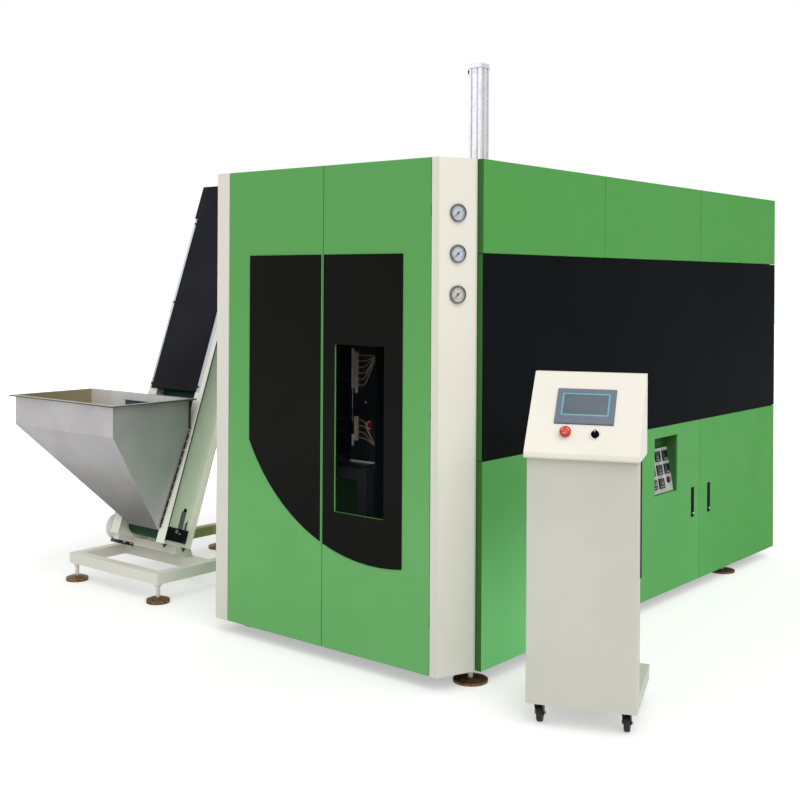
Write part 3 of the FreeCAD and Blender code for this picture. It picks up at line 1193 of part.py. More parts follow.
def pedestal():
    column = new_body("Column")
    pad(column, rectangle(column, "XY_Plane", "0", "0", "pedestal_width", "column_depth"),
        "head_low - base_high")
    round_edges(column, "edge_radius", lambda box: box.XLength < 1e-6 and box.YLength < 1e-6)
    part("pedestal_column", group(place(column, "0", "0", "base_high")), *PEDESTAL)

    base = new_body("Base")
    pad(base, rectangle(base, "XY_Plane", "0", "0", "pedestal_width", "base_depth"),
        "base_high - base_low")
    round_edges(base, "edge_radius", lambda box: box.XLength < 1e-6 and box.YLength < 1e-6)
    cut_box(base, "base_sheet", "base_sheet", "0", "pedestal_width - 2 * base_sheet",
            "base_depth - 2 * base_sheet", "base_high - base_low - base_sheet")
    for x, y in CASTERS.values():
        add_rod(base, x, y, "0", "swivel_boss", "base_high - base_low")
        cut_rod(base, x, y, "0", "swivel_radius + running_gap", "base_high - base_low - base_sheet")
    part("pedestal_base", group(place(base, "0", "0", "base_low")), *PEDESTAL)

    head = prism("YZ_Plane", [("-head_nose", "head_low"), ("head_depth", "head_low"),
                              ("head_depth", "head_top"), ("head_crown", "head_top"),
                              ("-head_nose", "head_low + head_nose_height")],
                 "pedestal_width + 2 * head_over")
    round_edges(head, "nose_radius", lambda box: box.XLength > 1 and box.YMax < -1e-6)
    across = "head_over"
    tools = [block("bezel_left + panel_body_inset", "-1", "bezel_low + panel_body_inset",
                   "bezel_width - 2 * panel_body_inset", "panel_body + 1",
                   "bezel_height - 2 * panel_body_inset")]
    for x in ("estop_x", "selector_x"):
        tools.append(rod(x, "-1", "button_z", "button_stem + running_gap", "button_depth + 1", Y))
    tool = place(group(*tools), "0", "-head_nose", "head_low + head_nose_height", X, FACE_TURN)
    part("pedestal_head", group(place(cut(head, tool), f"-{across}", "0", "0")), *PEDESTAL)

    bezel = new_body("Touch_panel")
    pad(bezel, rectangle(bezel, "XZ_Plane", "bezel_left", "bezel_low", "bezel_width", "bezel_height"),
        "bezel_proud")
    round_edges(bezel, "edge_radius", lambda box: box.YMax < -1e-6 or box.YLength > 1)
    cut_box(bezel, "bezel_left + screen_margin", "-bezel_proud", "bezel_low + screen_margin",
            "bezel_width - 2 * screen_margin", "screen_recess", "bezel_height - 2 * screen_margin")
    add_box(bezel, "bezel_left + panel_body_inset", "0", "bezel_low + panel_body_inset",
            "bezel_width - 2 * panel_body_inset", "panel_body", "bezel_height - 2 * panel_body_inset")
    on_face("touch_panel", bezel)

    # mushroom head on a neck; it stands off the face by its travel
    estop = new_body("Emergency_button")
    lift = "(estop_travel + rest_gap)"
    cap_back = f"(-{lift} - estop_neck_length)"
    add_rod(estop, "estop_x", f"{cap_back} - estop_cap", "button_z", "estop_radius", "estop_cap", Y)
    round_edges(estop, "estop_cap * 0.45", lambda box: box.YMax < value(f"{cap_back} - estop_cap / 2"))
    add_rod(estop, "estop_x", cap_back, "button_z", "estop_neck", "estop_neck_length", Y)
    add_rod(estop, "estop_x", f"-{lift}", "button_z", "button_stem",
            f"{lift} + button_depth - 2 * estop_travel", Y)
    on_face("estop_button", estop)

    knob = new_body("Selector_knob")
    add_rod(knob, "selector_x", "-selector_cap", "button_z", "selector_radius + selector_rim",
            "selector_cap - rest_gap", Y)
    add_box(knob, "selector_x - selector_bar / 2", "-selector_cap - selector_grip",
            "button_z - selector_radius", "selector_bar", "selector_grip", "selector_radius * 2")
    add_rod(knob, "selector_x", "-rest_gap", "button_z", "button_stem", "button_depth", Y)
    on_face("selector_knob", knob)


def casters():
    wheel_z = "wheel_radius"
    for name, (x, y) in CASTERS.items():
        # fork drawn from the swivel axis on the floor, with the wheel trailing behind it
        fork = new_body("Fork")
        half = "(wheel_width / 2 + fork_gap)"
        top = "(base_low - rest_gap)"
        for side in (f"-{half} - fork_wall", half):
            cheek = outline(fork, "YZ_Plane", [
                ("-fork_reach", f"{top} - fork_plate"), ("-fork_reach", f"{top} - fork_plate - fork_lug"),
                ("caster_trail - wheel_axle * 2", f"{wheel_z} - wheel_axle"),
                ("caster_trail + wheel_axle * 2", f"{wheel_z} - wheel_axle"),
                ("fork_reach + fork_lug", f"{top} - fork_plate")])
            bind(cheek, AttachmentOffset__Base__z=side)
            pad(fork, cheek, "fork_wall")
        add_box(fork, f"-{half} - fork_wall", "-fork_reach", f"{top} - fork_plate",
                f"2 * ({half} + fork_wall)", "2 * fork_reach + fork_lug", "fork_plate")
        add_rod(fork, "0", "0", f"{top} - fork_plate / 2", "swivel_radius", "swivel_length")
        add_rod(fork, f"-{half} - fork_wall - fork_pin", "caster_trail", wheel_z, "wheel_axle",
                f"2 * ({half} + fork_wall + fork_pin)", X)
        part(f"caster_fork_{name}", group(place(fork, x, y, "0")), *PEDESTAL)

        wheel = new_body("Wheel")
        add_rod(wheel, "-wheel_width / 2", "0", "0", "wheel_radius", "wheel_width", X)
        round_edges(wheel, "wheel_edge", lambda box: box.XLength < 1e-6)
        add_rod(wheel, f"-{half} + rest_gap", "0", "0", "wheel_hub", f"2 * ({half} - rest_gap)", X)
        cut_rod(wheel, f"-{half}", "0", "0", "wheel_axle + running_gap", f"2 * {half}", X)
        part(f"caster_wheel_{name}", group(place(wheel, x, f"({y}) + caster_trail", wheel_z)), *PEDESTAL)


def check_and_write():
    """Stop on any failed or invalid shape, then write one file for each sub-part."""
    doc.recompute()
    failed = [item.Label for item in doc.Objects if "Invalid" in item.State or "Error" in item.State]
    for name, item in parts.items():
        if item.Shape.isNull() or not item.Shape.isValid() or not item.Shape.Solids:
            failed.append(name)
    if failed:
        raise ValueError("failed: " + ", ".join(failed))
    os.makedirs("parts", exist_ok=True)
    for name, item in parts.items():
        item.Shape.exportStep(f"parts/{name}.step")
    print(len(parts), "sub-parts,", sum(len(item.Shape.Solids) for item in parts.values()), "solids")


main_frame()
levelling_feet()
corner_columns()
side_panels()
roof_and_rear()
front_doors()
side_doors()
door_handles()
instruments()
gauges()
clamp_unit()
moulds()
stretch_unit()
oven()
loader_frame()
elevator_unit()
hopper()
chute()
pedestal()
casters()
check_and_write()
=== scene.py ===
import json
import math

import bmesh
import bpy
from mathutils import Matrix, Vector


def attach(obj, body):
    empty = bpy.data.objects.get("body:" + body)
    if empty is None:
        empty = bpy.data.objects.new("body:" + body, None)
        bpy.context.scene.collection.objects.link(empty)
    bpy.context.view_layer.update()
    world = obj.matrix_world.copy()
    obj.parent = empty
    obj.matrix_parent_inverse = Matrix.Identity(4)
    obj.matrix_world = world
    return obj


# The looks of a stretch blow moulding machine: finishes, small detail on the CAD frame, light and
# camera. Finishes are painted by places in the frame, in metres. Pieces are drawn in millimetres, in
# the cabinet's frame or one set in it. X runs right along the front, Y back along the side and Z up,
# from the cabinet's outer front left corner on the floor.

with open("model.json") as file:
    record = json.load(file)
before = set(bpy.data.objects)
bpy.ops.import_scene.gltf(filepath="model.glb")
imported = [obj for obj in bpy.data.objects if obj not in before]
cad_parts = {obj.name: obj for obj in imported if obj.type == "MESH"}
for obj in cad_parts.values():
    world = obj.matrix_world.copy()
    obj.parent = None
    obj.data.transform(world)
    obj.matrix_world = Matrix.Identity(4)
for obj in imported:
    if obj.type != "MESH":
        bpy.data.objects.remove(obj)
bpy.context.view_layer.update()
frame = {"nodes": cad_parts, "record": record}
NODES = frame["nodes"]

MILLIMETRE = 0.001
CABINET_CORNER = (-0.070, -0.195, 0)  # in the frame, in metres
CABINET_WIDTH, CABINET_LENGTH, CABINET_HEIGHT = 1311, 2987, 2000
X, Y, Z = range(3)  # axes that a shape is turned about


# ---------------- colours and finishes

def srgb(red, green, blue):
    """A colour as it is seen on a screen, 0 to 255, as the linear numbers a shader takes."""
    found = []
    for level in (red, green, blue):
        level /= 255
        found.append(level / 12.92 if level <= 0.04045 else ((level + 0.055) / 1.055) ** 2.4)
    return (*found, 1.0)


def scaled(colour, factor):
    return tuple(min(1.0, part * factor) for part in colour[:3]) + (1.0,)


def reckoned(tree, operation, first, second):
    """The result of a math node on two sockets."""
    made = tree.nodes.new("ShaderNodeMath")
    made.operation = operation
    tree.links.new(first, made.inputs[0])
    tree.links.new(second, made.inputs[1])
    return made.outputs[0]


def mapped(tree, source, start, end, to_start, to_end, easing="LINEAR"):
    """Goes from one value to another as a source goes from start to end."""
    made = tree.nodes.new("ShaderNodeMapRange")
    made.interpolation_type = easing
    for key, value in zip(("From Min", "From Max", "To Min", "To Max"), (start, end, to_start, to_end)):
        made.inputs[key].default_value = value
    tree.links.new(source, made.inputs["Value"])
    return made.outputs["Result"]


class Finish:
    """A node material under construction, on one Principled shader. Sizes and places are in metres."""

    def __init__(self, name, colour, roughness, metallic=0.0, specular=0.5):
        self.name = name
        self.material = bpy.data.materials.new(name)
        self.material.use_nodes = True
        self.material.diffuse_color = colour
        self.tree = self.material.node_tree
        self.shader = self.tree.nodes["Principled BSDF"]
        self.colour = colour
        for key, value in (("Base Color", colour), ("Roughness", roughness), ("Metallic", metallic),
                           ("Specular IOR Level", specular)):
            self.shader.inputs[key].default_value = value
        self.coordinates = self.node("ShaderNodeTexCoord")

    def node(self, kind, **settings):
        made = self.tree.nodes.new(kind)
        for key, value in settings.items():
            setattr(made, key, value)
        return made

    def link(self, source, target):
        self.tree.links.new(source, target)

    def noise(self, size, detail=2.0, stretch=(1, 1, 1)):
        """Noise whose blobs are of a size, and longer along an axis whose stretch is under 1."""
        mapping = self.node("ShaderNodeMapping")
        mapping.inputs["Scale"].default_value = stretch
        self.link(self.coordinates.outputs["Object"], mapping.inputs["Vector"])
        made = self.node("ShaderNodeTexNoise")
        made.inputs["Scale"].default_value = 1 / size
        made.inputs["Detail"].default_value = detail
        self.link(mapping.outputs["Vector"], made.inputs["Vector"])
        return made.outputs["Fac"]

    def coordinate(self, kind, axis):
        separate = self.node("ShaderNodeSeparateXYZ")
        self.link(self.coordinates.outputs[kind], separate.inputs["Vector"])
        return separate.outputs[axis]

    def spread(self, source, start, end, to_start=0.0, to_end=1.0):
        return mapped(self.tree, source, start, end, to_start, to_end, "SMOOTHSTEP")

    def past(self, axis, start, end, most=1.0):
        """A mask that rises from 0 to its most as the place on an axis goes from start to end."""
        return self.spread(self.coordinate("Object", axis), start, end, 0.0, most)

    def facing(self, axis, start, end):
        """The same, from 0 to 1, for the normal's part along an axis."""
        return self.spread(self.coordinate("Normal", axis), start, end)

    def patches(self, size, detail, start=0.35, end=0.65, most=1.0):
        """A mask of soft blobs."""
        return self.spread(self.noise(size, detail), start, end, 0.0, most)

    def paint(self, other, *masks):
        """Turns the colour into another one as far as all the masks let it."""
        share = masks[0]
        for mask in masks[1:]:
            share = reckoned(self.tree, "MULTIPLY", share, mask)
        made = self.node("ShaderNodeMix", data_type="RGBA")
        factor, _, _, _, _, _, first, second = made.inputs[:8]
        colour_in = self.shader.inputs["Base Color"]
        if colour_in.is_linked:
            self.link(colour_in.links[0].from_socket, first)
        else:
            first.default_value = self.colour
        second.default_value = other
        self.link(share, factor)
        self.link(made.outputs[2], colour_in)
        return self

    def mottled(self, size, depth, detail=3.0):
        """Slow drifts of tone, as a sprayed coat has."""
        return self.paint(scaled(self.colour, 1 - depth), self.patches(size, detail))

    def rubbed(self, smooth, rough, size):
        """Roughness that drifts between two values."""
        drift = self.spread(self.noise(size, 4.0), 0.3, 0.7, smooth, rough)
        self.link(drift, self.shader.inputs["Roughness"])
        return self

    def relief(self, source, distance, strength):
        made = self.node("ShaderNodeBump")
        made.inputs["Strength"].default_value = strength
        made.inputs["Distance"].default_value = distance
        self.link(source, made.inputs["Height"])
        self.link(made.outputs["Normal"], self.shader.inputs["Normal"])
        return self

    def grained(self, size, distance, strength, detail=1.0, stretch=(1, 1, 1)):
        """Relief whose bumps are of a size."""
        return self.relief(self.noise(size, detail, stretch), distance, strength)


def powder(name, colour, roughness=0.45, grain=0.0014, drift=0.05, specular=0.35):
    """A powder-coated sheet: a fine orange peel, a slow drift of tone and faint smears."""
    made = Finish(name, colour, roughness, specular=specular)
    made.mottled(0.45, drift)
    made.rubbed(roughness - 0.05, roughness + 0.08, 0.12)
    return made.grained(grain, 0.00006, 0.35, detail=2.0)


def brushed(name, colour, roughness=0.32, stretch=(1, 0.02, 1), depth=0.12, metallic=1.0):
    """Steel with fine parallel scratches, long where stretch is under 1."""
    made = Finish(name, colour, roughness, metallic)
    scratches = made.noise(0.0012, 4.0, stretch)
    made.paint(scaled(colour, 1 - depth), made.spread(scratches, 0.35, 0.7))
    made.mottled(0.2, depth / 2)
    made.relief(scratches, 0.00008, 0.3)
    return made.rubbed(roughness - 0.06, roughness + 0.1, 0.15)


def moulded(name, colour, roughness=0.5, grain=0.0007, specular=0.4):
    """A moulded plastic with a fine spark texture."""
    made = Finish(name, colour, roughness, specular=specular)
    made.mottled(0.02, 0.05)
    return made.grained(grain, 0.00005, 0.4)


def polished(name, colour, roughness, specular, wave):
    """A smooth glossy face with a faint waviness and rubbed patches."""
    made = Finish(name, colour, roughness, specular=specular)
    made.mottled(wave * 4, 0.1)
    made.rubbed(roughness * 0.8, roughness * 1.3, wave)
    return made.grained(wave, 0.0002, 0.08)


def dark_sheet(name, colour, specular, drift, wave, depth=0.2, roughness=0.3, rubs=(0.24, 0.34, 0.3),
               strength=0.1):
    """A large dark glossy sheet, rubbed and faintly wavy."""
    made = Finish(name, colour, roughness, specular=specular)
    made.mottled(drift, depth)
    made.rubbed(*rubs)
    return made.grained(wave, 0.0004, strength)


def see_through(name, colour, roughness, alpha, specular):
    """A thin sheet that lets part of the light through."""
    made = Finish(name, colour, roughness, specular=specular)
    made.shader.inputs["Alpha"].default_value = alpha
    made.mottled(0.05, 0.04)
    return made.grained(0.09, 0.0001, 0.05)


# Coats high up and low down: the change with height is painted light and shade.
FRONT_GREEN = srgb(102, 174, 97), srgb(117, 188, 114)  # high up and low down
SIDE_GREEN = srgb(88, 161, 82), srgb(98, 173, 98)
CREAM = srgb(239, 234, 222), srgb(229, 229, 217)
SHADE_GREEN = srgb(62, 112, 56)
# painted shade that deepens the side's green towards the rear
REAR_GREEN = srgb(80, 155, 74)
DULL_CREAM = srgb(212, 210, 197)

FOLD_Y = -0.0271  # the front folds of the side panels lie just in front of this plane
SKIN_X = CABINET_CORNER[0] + CABINET_WIDTH * MILLIMETRE  # the outside of the side doors
REAR_FRAME_Y = 2.71  # the main frame shows beyond the side panels from here


def coat(name, colours, specular=0.03):
    """A sprayed coat that goes from its second colour low down to its first high up, a change that is
    painted light and shade.
    """
    high, low = colours
    made = powder(name, low, specular=specular)
    return made.paint(high, made.past("Z", 0.3, 1.7))


def deeper_to_rear(made):
    """Painted shade: the side's colour deepens from the front bay to the rear one."""
    return made.paint(REAR_GREEN, made.past("Y", 1.2, 2.8, most=0.75))


def fold_green():
    """The side panels: painted light low down at the front, painted shade deeper to the rear, and painted
    shade on their folds.
    """
    made = coat("green_fold_paint", SIDE_GREEN)
    # painted light: a brighter patch low down at the front
    made.paint(srgb(130, 218, 136), made.past("Z", 0.75, 0.1), made.past("Y", 1.0, 0.2))
    deeper_to_rear(made)
    # painted shade on the front folds
    return made.paint(SHADE_GREEN, made.past("Y", FOLD_Y + 0.0008, FOLD_Y))


def recess_green():
    """The middle side door, whose recess lies in shade behind its skin."""
    made = coat("green_recess_paint", SIDE_GREEN)
    return made.paint(SHADE_GREEN, made.past("X", SKIN_X - 0.001, SKIN_X - 0.012))


def main_frame_paint():
    """Dark grey inside the cabinet as painted shade, and cream where the frame shows at the rear."""
    made = powder("inner_frame_paint", srgb(58, 62, 66), roughness=0.5, specular=0.1)
    return made.paint(DULL_CREAM, made.past("Y", REAR_FRAME_Y, REAR_FRAME_Y + 0.01))


def elevator_paint():
    """The elevator's side plates, with painted shade that makes them a little duller towards the foot."""
    made = powder("elevator_paint", srgb(250, 252, 240), roughness=0.4, specular=0.15)
    return made.paint(srgb(243, 246, 232), made.past("Z", 0.7, 0.25))


def loader_paint():
    """The loader's base frame, with painted shade in olive along the middle of its left rail, where the
    hopper shades it.
    """
    made = powder("loader_frame_paint", srgb(238, 236, 225), roughness=0.5, specular=0.15)
    left_rail = made.past("Z", 0.2, 0.15), made.past("X", -1.2, -1.235)
    shaded_run = made.past("Y", 0.3, 0.6), made.past("Y", 0.9, 0.8)
    return made.paint(srgb(166, 172, 116), *left_rail, *shaded_run)


def hopper_steel():
    """The hopper's sheet: painted shade darkens its cone downwards, painted light and shade make its walls
    differ by where they look, and its left wall's inner face is browner.
    """
    made = brushed("hopper_steel", srgb(176, 174, 176), 0.42, (1, 1, 0.02), depth=0.08, metallic=0.5)
    # painted shade, darker downwards
    made.paint(srgb(118, 118, 115), made.past("Z", 0.74, 0.36))
    # painted light on faces that look to the right
    made.paint(srgb(198, 191, 197), made.facing("X", 0.3, 0.7))
    # painted light on the back wall's inner face, which looks to the front
    made.paint(srgb(246, 246, 246), made.past("Y", 0.08, 0.18), made.facing("Y", -0.3, -0.7))
    return made.paint(srgb(160, 149, 112), made.past("X", -1.40, -1.53), made.facing("X", 0.3, 0.7))


def extrusion_aluminium():
    """The cylinders' extrusion: drawn along Z, with painted shade on its right side, and grey patches."""
    made = Finish("cylinder_aluminium", srgb(247, 244, 251), 0.38, metallic=1.0)
    # painted shade on faces that look to the right
    made.paint(srgb(210, 208, 212), made.facing("X", 0.3, 0.7))
    made.grained(0.0009, 0.00006, 0.4, detail=2.0, stretch=(1, 1, 0.04))
    made.rubbed(0.3, 0.45, 0.05)
    return made.paint(srgb(205, 205, 209), made.patches(0.03, 3.0, 0.45, 0.75, most=0.4))


def feet_bronze():
    """Bronze foot pads below pale stems, which start lower on the machine than on the loader."""
    made = Finish("feet_bronze", srgb(134, 100, 66), 0.45, metallic=0.5)
    made.paint(srgb(84, 62, 42), made.patches(0.01, 4.0, 0.4, 0.65))
    loader_right, machine_left = -0.56, -0.55
    loader_stem, machine_stem = 0.0262, 0.0162
    stem_start = made.spread(made.coordinate("Object", "X"), loader_right, machine_left,
                             loader_stem, machine_stem)
    above_pad = reckoned(made.tree, "GREATER_THAN", made.coordinate("Object", "Z"), stem_start)
    made.paint(srgb(216, 214, 202), above_pad)
    return made.grained(0.002, 0.0002, 0.5, detail=3.0)


green = deeper_to_rear(coat("green_paint", SIDE_GREEN))
green_front = coat("green_front_paint", FRONT_GREEN)
zinc = brushed("zinc", srgb(206, 207, 205), 0.28, (1, 1, 0.2), depth=0.1)
cream = coat("cream_paint", CREAM, specular=0.2)
caster_paint = powder("caster_black", srgb(30, 30, 32), roughness=0.4, grain=0.001)
motor_paint = powder("motor_paint", srgb(240, 237, 227), roughness=0.35)
panel_plastic = moulded("panel_plastic", srgb(117, 125, 140), 0.45, specular=0.15)
needle_paint = moulded("needle_black", srgb(18, 18, 20))
dark_red = polished("push_button_red", srgb(120, 36, 34), roughness=0.35, specular=0.4, wave=0.01)

# finishes that bear the name of their slot in the frame
SLOT_FINISHES = (
    green, cream, motor_paint, panel_plastic, needle_paint,
    extrusion_aluminium(), hopper_steel(), feet_bronze(),
    brushed("bed_steel", srgb(150, 154, 160), 0.34),
    brushed("machine_steel", srgb(172, 173, 174), 0.3, (1, 1, 0.05)),
    brushed("gauge_metal", srgb(124, 126, 128), 0.3, (1, 1, 1), depth=0.15),
    brushed("mould_aluminium", srgb(203, 205, 208), 0.3, (0.05, 1, 1)),
    brushed("oven_sheet", srgb(74, 82, 94), 0.4, (1, 0.03, 1), depth=0.2),
    powder("pedestal_paint", srgb(212, 212, 200), specular=0.15),
    moulded("handle_black", srgb(17, 17, 18), 0.42, specular=0.01),
    polished("button_red", srgb(196, 44, 38), roughness=0.3, specular=0.4, wave=0.01),
    see_through("clear_pane", srgb(12, 14, 18), roughness=0.12, alpha=0.12, specular=0.03),
    dark_sheet("black_glass", srgb(22, 22, 21), specular=0.03, drift=0.6, wave=0.25),
    dark_sheet("smoked_cover", srgb(34, 34, 40), specular=0.04, drift=0.3, wave=0.12, depth=0.3,
               roughness=0.28, rubs=(0.22, 0.4, 0.2), strength=0.15),
    Finish("lamp_glass", srgb(58, 52, 50), 0.15, specular=0.2).mottled(0.01, 0.1).grained(
        0.004, 0.0001, 0.3, stretch=(1, 0.1, 1)),
    Finish("wire_sleeve", srgb(212, 190, 160), 0.8).mottled(0.01, 0.25).grained(
        0.0012, 0.0004, 0.8, detail=2.0),
    Finish("belt_green", srgb(16, 64, 40), 0.6, specular=0.15).mottled(0.05, 0.25).grained(
        0.003, 0.0003, 0.6, detail=3.0),
    Finish("caster_tread", srgb(26, 26, 27), 0.7).mottled(0.01, 0.2).grained(
        0.002, 0.0003, 0.6, detail=3.0),
)
BY_SLOT = {made.name: made for made in SLOT_FINISHES}
BY_SLOT["caster_steel"] = caster_paint
BY_NODE = {
    "main_frame": main_frame_paint(), "loader_frame": loader_paint(),
    "elevator_side_plates": elevator_paint(), "side_panels": fold_green(),
    "side_door_middle": recess_green(),
    "front_left_door": green_front, "front_right_door": green_front,
    "side_windows": dark_sheet("side_glass", srgb(22, 23, 26), specular=0.003, drift=0.8, wave=0.3),
    "instrument_panel": powder("instrument_paint", srgb(186, 193, 182), roughness=0.5, specular=0.1),
    "temperature_controllers": moulded("controller_black", srgb(30, 31, 34), 0.4, specular=0.1),
    "recess_button": dark_red,
    # a lighter copy of the pedestal's paint: painted light on the head
    "pedestal_head": powder("pedestal_head_paint", srgb(246, 241, 229), specular=0.15),
}

for row in frame["record"]["subparts"]:
    finish = BY_NODE.get(row["node"]) or BY_SLOT[row["material_slot"]]
    NODES[row["node"]].data.materials.clear()
    NODES[row["node"]].data.materials.append(finish.material)


# ---------------- drawing

def placed(x, y, z, turn=0.0, lean=0.0):
    """The frame at a point of the cabinet, in millimetres, turned about Z and then leaned about X."""
    return (Matrix.Translation(CABINET_CORNER) @ Matrix.Scale(MILLIMETRE, 4)
            @ Matrix.Translation((x, y, z)) @ Matrix.Rotation(math.radians(turn), 4, "Z")
            @ Matrix.Rotation(math.radians(lean), 4, "X"))


CABINET = placed(0, 0, 0)


def linked(name, data):
    thing = bpy.data.objects.new(name, data)
    bpy.context.scene.collection.objects.link(thing)
    return thing


def circle(radius, steps):
    return [(radius * math.cos(2 * math.pi * step / steps), radius * math.sin(2 * math.pi * step / steps))
            for step in range(steps)]


class Shape:
    """A mesh drawn in millimetres in a frame of its own. Faces look to -Y where nothing else is said."""

    SHARP = math.radians(35)  # edges with more than this between their faces stay sharp

    def __init__(self):
        self.mesh = bmesh.new()

    def box(self, low, high, bevel=0.0):
        made = bmesh.ops.create_cube(self.mesh, size=1)["verts"]
        for vert in made:
            vert.co = [start + (end - start) * (part + 0.5) for start, end, part in zip(low, high, vert.co)]
        if bevel:
            edges = list({edge for vert in made for edge in vert.link_edges})
            bmesh.ops.bevel(self.mesh, geom=edges, offset=bevel, segments=2, profile=0.5, affect="EDGES")
        return self

    def sheet(self, low, high, front, back, bevel=0.0):
        """A box between two (x, z) corners and two y."""
        return self.box((low[0], front, low[1]), (high[0], back, high[1]), bevel)

    def border(self, low, high, width, front, back, bevel=0.0):
        """A flat rectangular border, of a width inwards from two (x, z) corners."""
        (left, bottom), (right, top) = low, high
        for start, end in (((left, bottom), (right, bottom + width)), ((left, top - width), (right, top)),
                           ((left, bottom + width), (left + width, top - width)),
                           ((right - width, bottom + width), (right, top - width))):
            self.sheet(start, end, front, back, bevel)
        return self

    def swept(self, loops):
        """A skin over loops of as many points each, capped at both ends."""
        rows = [[self.mesh.verts.new(point) for point in loop] for loop in loops]
        for low, high in zip(rows, rows[1:]):
            for index in range(len(low)):
                self.mesh.faces.new((low[index - 1], low[index], high[index], high[index - 1]))
        self.mesh.faces.new(rows[0])
        self.mesh.faces.new(rows[-1][::-1])
        return self

    def prism(self, corners, low, high):
        """Corners are (x, z) pairs; low and high are y."""
        return self.swept([[(x, y, z) for x, z in corners] for y in (low, high)])

    def turned(self, centre, profile, axis=Y, steps=48):
        """A closed profile of (radius, height) pairs turned about an axis through centre."""
        first, second = [(Y, Z), (Z, X), (X, Y)][axis]
        rings = []
        for radius, height in profile:
            ring = []
            for across, up in circle(radius, steps) if radius else [(0, 0)]:
                point = Vector(centre)
                point[axis] += height
                point[first] += across
                point[second] += up
                ring.append(self.mesh.verts.new(point))
            rings.append(ring)
        for low, high in zip(rings, rings[1:] + rings[:1]):
            for step in range(max(len(low), len(high))):
                corners = [low[step % len(low)], low[(step + 1) % len(low)],
                           high[(step + 1) % len(high)], high[step % len(high)]]
                corners = list(dict.fromkeys(corners))
                if len(corners) > 2:
                    self.mesh.faces.new(corners)
        return self

    def disc(self, centre, radius, height, axis=Y, steps=20):
        return self.turned(centre, [(0, 0), (radius, 0), (radius, height), (0, height)], axis, steps)

    def ring(self, centre, inner, outer, low, high, steps=48):
        return self.turned(centre, [(inner, low), (outer, low), (outer, high), (inner, high)], Y, steps)

    def arc(self, radius, width, start, end, low, high, steps=40):
        """A flat curved strip about the Y axis. Angles are clockwise from straight up, in degrees."""
        loops = []
        for step in range(steps + 1):
            angle = math.radians(start + (end - start) * step / steps)
            loops.append([(reach * math.sin(angle), y, reach * math.cos(angle))
                          for reach, y in ((radius, low), (radius + width, low),
                                           (radius + width, high), (radius, high))])
        return self.swept(loops)

    def tube(self, points, radius, steps=10):
        """A round rod along points."""
        points = [Vector(point) for point in points]
        off_axis = Vector((0.31, 0.83, 0.47))  # any direction that the rod never takes
        loops = []
        for index, point in enumerate(points):
            towards = (points[min(index + 1, len(points) - 1)] - points[max(index - 1, 0)]).normalized()
            side = towards.cross(off_axis).normalized()
            up = side.cross(towards)
            loops.append([point + side * across + up * high for across, high in circle(radius, steps)])
        return self.swept(loops)

    def screw(self, centre, radius, height, axis=Y, out=-1):
        """A button head screw with a round socket."""
        lift = [(radius, 0), (radius, 0.35 * height), (0.72 * radius, 0.85 * height),
                (0.5 * radius, height), (0.5 * radius, 0.5 * height), (0, 0.5 * height)]
        return self.turned(centre, [(0, 0)] + [(reach, out * up) for reach, up in lift], axis, 18)

    def hexagon(self, centre, across, height, axis=X, out=-1):
        """A hexagon head with a chamfered crown."""
        radius = across / math.sqrt(3)
        return self.turned(centre, [(0, 0), (radius, 0), (radius, out * 0.8 * height),
                                    (0.88 * radius, out * height), (0, out * height)], axis, 6)

    def text(self, words, height, x, z, low, high):
        """Plain numerals, centred on x and z."""
        curve = bpy.data.curves.new("numeral", "FONT")
        curve.body = words
        curve.size = height
        curve.align_x = curve.align_y = "CENTER"
        curve.extrude = (high - low) / 2
        thing = bpy.data.objects.new("numeral", curve)
        mesh = bpy.data.meshes.new_from_object(thing)
        mesh.transform(Matrix.Translation((x, (low + high) / 2, z)) @ Matrix.Rotation(math.pi / 2, 4, "X"))
        self.mesh.from_mesh(mesh)
        bpy.data.objects.remove(thing)
        bpy.data.curves.remove(curve)
        bpy.data.meshes.remove(mesh)
        return self

    def make(self, name, where, finish, slot, body="machine"):
        """Sets the shape in its frame and makes it a piece that rides on a body."""
        bmesh.ops.recalc_face_normals(self.mesh, faces=self.mesh.faces)
        self.mesh.transform(where)
        for face in self.mesh.faces:
            face.smooth = True
        for edge in self.mesh.edges:
            edge.smooth = edge.is_manifold and edge.calc_face_angle(0) < self.SHARP
        mesh = bpy.data.meshes.new(name)
        self.mesh.to_mesh(mesh)
        self.mesh.free()
        mesh.materials.append(finish.material)
        piece = linked(name, mesh)
        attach(piece, body)


# ---------------- pressure gauges

dial_face = moulded("dial_face", srgb(208, 215, 227), 0.4)
low_dial_face = moulded("low_dial_face", srgb(214, 212, 204), 0.4)
dial_ink = moulded("dial_ink", srgb(26, 29, 38), 0.6, specular=0.1)
bezel_grey = moulded("bezel_grey", srgb(74, 76, 80), 0.4, specular=0.2)
clear_glass = see_through("gauge_glass", srgb(236, 240, 244), roughness=0.06, alpha=0.05, specular=0.12)

GAUGE_LEVELS = {"upper": 1792, "middle": 1638.5, "lower": 1485}
GAUGE_X, GAUGE_Y = 1256.5, 76  # the middle of the right column's slanted face
GAUGE_TURN = math.degrees(math.atan(152 / 57))  # which goes 152 back over 57 to the right
SWEEP_START, SWEEP_END = -132, 133  # degrees, clockwise from straight up
DIAL_BACK, DIAL_FACE = -3.5, -3.6
STROKES, LONG_EACH, NUMERAL_EACH = 32, 4, 8


